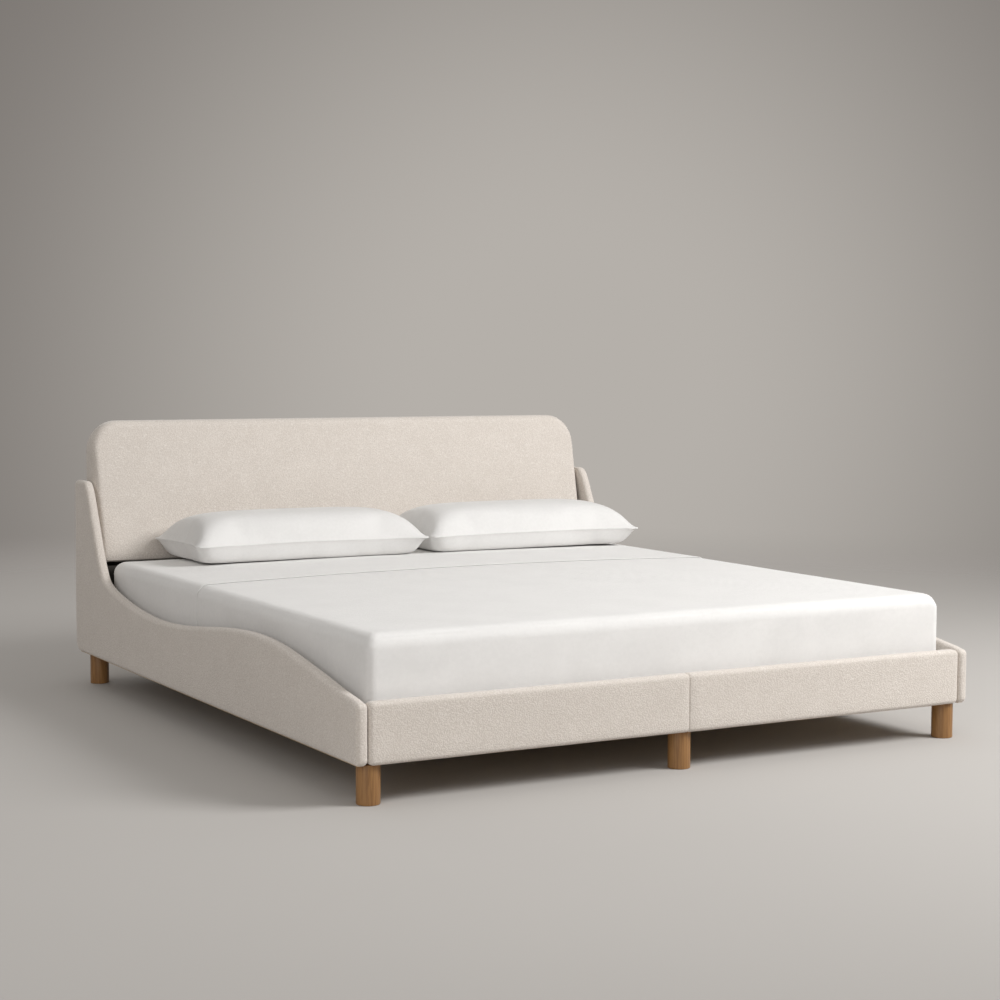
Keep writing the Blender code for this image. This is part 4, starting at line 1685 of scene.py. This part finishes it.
@dataclass
class PillowPair:
    """Two stuffed pillows: one is cut flat and filled as cloth, and the other is its copy, turned."""

    cut_slack: tuple[float, float] = (0.022, 0.032)
    half_seam: float = 0.0018
    cell: float = 0.0115
    pressure: float = 9.0
    frames: int = 30
    iron_passes: int = 30
    seam_gather: float = 0.06
    seam_ridge: float = 0.0022
    fullness: float = 0.55
    settle_rate: float = 4.5
    rise_share: float = 0.634
    clearance: float = 0.0015

    def cut_case(self, low: Vector, high: Vector) -> bpy.types.Object:
        """Lays the flat case out at its place, a little larger than the filled pillow.

        Args:
            low: Lowest corner of the pillow's solid.
            high: Highest corner of the pillow's solid.

        Returns:
            The case.
        """
        centre = self.seam_centre(low, high)
        size = Vector(
            (high.x - low.x + self.cut_slack[0], high.y - low.y + self.cut_slack[1],
             2 * self.half_seam)
        )
        deselect_all()
        bpy.ops.mesh.primitive_cube_add(size=1.0, location=centre)
        piece = bpy.context.object
        piece.name = piece.data.name = "pillow_left_case"
        settle(piece)
        with Edit(piece) as edit:
            bpy.ops.mesh.select_all(action="SELECT")
            bpy.ops.transform.resize(value=size, center_override=centre)
            half = size / 2
            edit.slice(Axis.X, steps(centre.x - half.x, centre.x + half.x, self.cell))
            edit.slice(Axis.Y, steps(centre.y - half.y, centre.y + half.y, self.cell))
            edit.tidy()
        return piece

    def seam_centre(self, low: Vector, high: Vector) -> Vector:
        """Middle of the plane that the seam lies in."""
        middle = (low + high) / 2
        return Vector((middle.x, middle.y, high.z - (high.z - low.z) * self.rise_share))

    def fill_as_cloth(self, piece: bpy.types.Object) -> None:
        """Blows the case up as cloth, and keeps the result."""
        cloth = piece.modifiers.new("fill", "CLOTH")
        settings = cloth.settings
        settings.quality = 6
        settings.mass = 0.3
        settings.tension_stiffness = 25
        settings.compression_stiffness = 3
        settings.shear_stiffness = 4
        settings.bending_stiffness = 6.0
        settings.vertex_group_shrink = "seam"
        settings.shrink_max = self.seam_gather
        settings.use_pressure = True
        settings.uniform_pressure_force = self.pressure
        settings.effector_weights.gravity = 0
        cloth.point_cache.frame_start = 1
        cloth.point_cache.frame_end = self.frames
        for number in range(1, self.frames + 1):
            bpy.context.scene.frame_set(number)
        apply_modifier(piece, "fill")
        bpy.context.scene.frame_set(1)

    def mark_panels(self, piece: bpy.types.Object) -> None:
        """Keeps which points belong to the two panels and which to the seam between them."""
        corners = [Vector(corner) for corner in piece.bound_box]
        low, high = corners[0], corners[6]
        panels = piece.vertex_groups.new(name="panels")
        seam = piece.vertex_groups.new(name="seam")
        for point in piece.data.vertices:
            place = point.co
            inwards = min(place.x - low.x, high.x - place.x, place.y - low.y, high.y - place.y)
            group = seam if inwards < self.half_seam else panels
            group.add([point.index], 1.0, "REPLACE")

    def iron(self, piece: bpy.types.Object) -> None:
        """Smooths the creases out of the panels and leaves the seam as it is."""
        press = piece.modifiers.new("press", "SMOOTH")
        press.factor = 0.5
        press.iterations = self.iron_passes
        press.vertex_group = "panels"
        apply_modifier(piece, "press")

    def raise_seam(self, piece: bpy.types.Object) -> None:
        """Draws the seam out into a thin ridge all round."""
        seam = piece.vertex_groups["seam"].index
        with Edit(piece) as edit:
            shape = bmesh.from_edit_mesh(piece.data)
            layer = shape.verts.layers.deform.active
            edit.select(lambda face: all(seam in point[layer] for point in face.verts))
            bpy.ops.mesh.extrude_region_shrink_fatten(
                TRANSFORM_OT_shrink_fatten={"value": self.seam_ridge}
            )

    def rest(self, piece: bpy.types.Object, low: Vector, high: Vector, bed: Bedding) -> None:
        """Fits the filled pillow to its solid's box and flattens its underside on the sheet.

        Args:
            piece: The filled pillow.
            low: Lowest corner of the pillow's solid.
            high: Highest corner of the pillow's solid.
            bed: What it lies on.
        """
        corners = [Vector(corner) for corner in piece.bound_box]
        found_low = Vector([min(c[i] for c in corners) for i in range(3)])
        found_high = Vector([max(c[i] for c in corners) for i in range(3)])
        centre = self.seam_centre(low, high)
        middle = (found_low + found_high) / 2
        found = found_high - found_low
        wanted = high - low
        log.info("pillow filled to %.3f x %.3f x %.3f", *found)
        top = bed.top
        height = bed.edge_height(top)
        rise, sink = high.z - centre.z, centre.z - low.z

        def rested(place: Vector) -> Vector:
            x = centre.x + (place.x - middle.x) * wanted.x / found.x
            y = centre.y + (place.y - middle.y) * wanted.y / found.y
            up = (place.z - middle.z) / (found.z / 2)
            if up > 0:
                return Vector((x, y, centre.z + rise * (up + self.fullness * up * (1 - up))))
            z = centre.z + sink * math.tanh(self.settle_rate * up) / math.tanh(self.settle_rate)
            floor = height + top.rise(x, y) + self.clearance
            return Vector((x, y, max(z, floor)))

        with Edit(piece) as edit:
            edit.move_points(rested)

    def finish_one(
        self, piece: bpy.types.Object, shop: Workshop, body: Body, node: str
    ) -> None:
        """Hands one pillow over.

        Args:
            piece: The pillow.
            shop: The finishes.
            body: The body that it rides on.
            node: The solid that it stands for.
        """
        smooth(piece, 75)
        hand_over(piece, body, shop.shaded_pillow_cotton, [node])

    def dress(self, shop: Workshop, bed: Bedding) -> None:
        """Builds, fills and finishes both pillows."""
        low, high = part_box("pillow_left")
        right_low, right_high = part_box("pillow_right")
        left = self.cut_case(low, high)
        self.mark_panels(left)
        self.fill_as_cloth(left)
        self.iron(left)
        self.raise_seam(left)
        round_off = left.modifiers.new("round_off", "SUBSURF")
        round_off.levels = round_off.render_levels = 1
        apply_modifier(left, "round_off")
        right = left.copy()
        right.data = left.data.copy()
        right.name = right.data.name = "pillow_right_case"
        bpy.context.scene.collection.objects.link(right)
        centre = self.seam_centre(low, high)
        right_centre = self.seam_centre(right_low, right_high)
        with Edit(right) as edit:
            half_turn = Matrix.Rotation(math.pi, 3, "Z")
            edit.move_points(lambda place: right_centre + half_turn @ (place - centre))
        self.rest(left, low, high, bed)
        self.rest(right, right_low, right_high, bed)
        self.finish_one(left, shop, Body.PILLOW_LEFT, "pillow_left")
        self.finish_one(right, shop, Body.PILLOW_RIGHT, "pillow_right")


# ---------------------------------------------------------------- studio


@dataclass
class Studio:
    """Pale floor that fades into a plain grey surround, soft light and the camera."""

    floor_radius: float = 60.0
    fade: tuple[float, float] = (1.6, 7.2)
    floor_colour: Colour = (0.508, 0.488, 0.466)
    surround_bright: Colour = (0.462, 0.434, 0.402)
    surround_dark: Colour = (0.200, 0.183, 0.169)
    overhead: Colour = (0.510, 0.496, 0.478)
    bright_at: tuple[float, float] = (31.2, -0.7)
    camera_place: tuple[float, float, float] = (-3.2002, -5.7426, 1.1637)
    yaw: float = 29.456
    pitch: float = -4.19
    roll: float = 0.0045
    lens: float = 72.607

    def add_floor(self) -> None:
        """Adds the floor."""
        deselect_all()
        bpy.ops.mesh.primitive_circle_add(
            vertices=96, radius=self.floor_radius, fill_type="NGON", location=(0, 0, 0)
        )
        floor = bpy.context.object
        floor.name = "floor"
        recipe = Recipe("studio_floor", 0.9)
        shade = recipe.clouds(0.6, 2.0, 0.5)
        darker = tuple(0.95 * part for part in self.floor_colour)
        reach = recipe.node(
            "ShaderNodeVectorMath", {"operation": "LENGTH"}, recipe.place, out=1
        )
        recipe.feed(recipe.shader.inputs["Alpha"], 1 - reach.spread(*self.fade))
        recipe.shader.inputs["Specular IOR Level"].default_value = 0.1
        floor.data.materials.append(recipe.finish(recipe.mix(shade, darker, self.floor_colour)))

    def add_world(self) -> None:
        """Adds the surround: plain grey, brightest behind the bed."""
        world = bpy.data.worlds.new("studio")
        world.use_nodes = True
        nodes = Nodes(world.node_tree, "Generated")
        turn, rise = (math.radians(angle) for angle in self.bright_at)
        brightest = (
            math.sin(turn) * math.cos(rise), math.cos(turn) * math.cos(rise), math.sin(rise)
        )
        apart = nodes.node(
            "ShaderNodeVectorMath", {"operation": "DISTANCE"}, nodes.place, brightest, out=1
        )
        dimming = apart.spread(0.06, 0.36)
        height = nodes.parts_of(nodes.place)[2]
        around = nodes.mix(dimming, self.surround_bright, self.surround_dark)
        colour = nodes.mix(height.spread(0.20, 0.80), around, self.overhead)
        background = world.node_tree.nodes["Background"]
        nodes.feed(background.inputs["Color"], colour)
        bpy.context.scene.world = world

    def add_lamp(
        self, name: str, place: Sequence[float], target: Sequence[float], size: float,
        watts: float,
    ) -> None:
        """Adds one soft lamp.

        Args:
            name: The lamp's name.
            place: Where it stands.
            target: Where it points.
            size: Side of its square.
            watts: Its power.
        """
        lamp = bpy.data.lights.new(name, "AREA")
        lamp.size = size
        lamp.energy = watts
        item = bpy.data.objects.new(name, lamp)
        item.location = place
        aim = Vector(target) - Vector(place)
        item.rotation_euler = aim.to_track_quat("-Z", "Y").to_euler()
        bpy.context.scene.collection.objects.link(item)

    def add_camera(self) -> None:
        """Adds the camera."""
        data = bpy.data.cameras.new("camera")
        data.lens = self.lens
        camera = bpy.data.objects.new("camera", data)
        camera.location = self.camera_place
        forward_turn = Matrix.Rotation(-math.radians(self.yaw), 4, "Z")
        tilt = Matrix.Rotation(math.pi / 2 + math.radians(self.pitch), 4, "X")
        spin = Matrix.Rotation(self.roll, 4, "Z")
        camera.rotation_euler = (forward_turn @ tilt @ spin).to_euler()
        bpy.context.scene.collection.objects.link(camera)
        bpy.context.scene.camera = camera

    def set_up(self) -> None:
        """Sets the whole studio up."""
        bpy.context.scene.view_settings.view_transform = "Standard"
        self.add_floor()
        self.add_world()
        self.add_lamp("key", (3.9, -3.9, 4.1), (0.0, 0.0, 0.3), 2.6, 384)
        self.add_lamp("fill", (-5.4, -4.4, 2.5), (0.0, 0.0, 0.4), 4.0, 106)
        self.add_lamp("rear", (-0.6, 6.2, 2.6), (0.0, 0.4, 0.4), 3.6, 45)
        self.add_camera()


def main() -> None:
    """Builds and dresses the bed and sets up the studio."""
    shop = Workshop()
    for name in ("side_panel_left", "side_panel_right"):
        SidePanel(name).dress(shop)
    FootPanel().dress(shop)
    Headboard().dress(shop)
    for where in ("foot_left", "foot_centre", "foot_right", "head_left", "head_right"):
        Leg(where).dress(shop)
    Base().dress(shop)
    Lining().dress(shop)
    Fasteners().dress(shop)
    bed = Bedding()
    bed.dress(shop)
    PillowPair().dress(shop, bed)
    Studio().set_up()


if __name__ == "__main__":
    main()
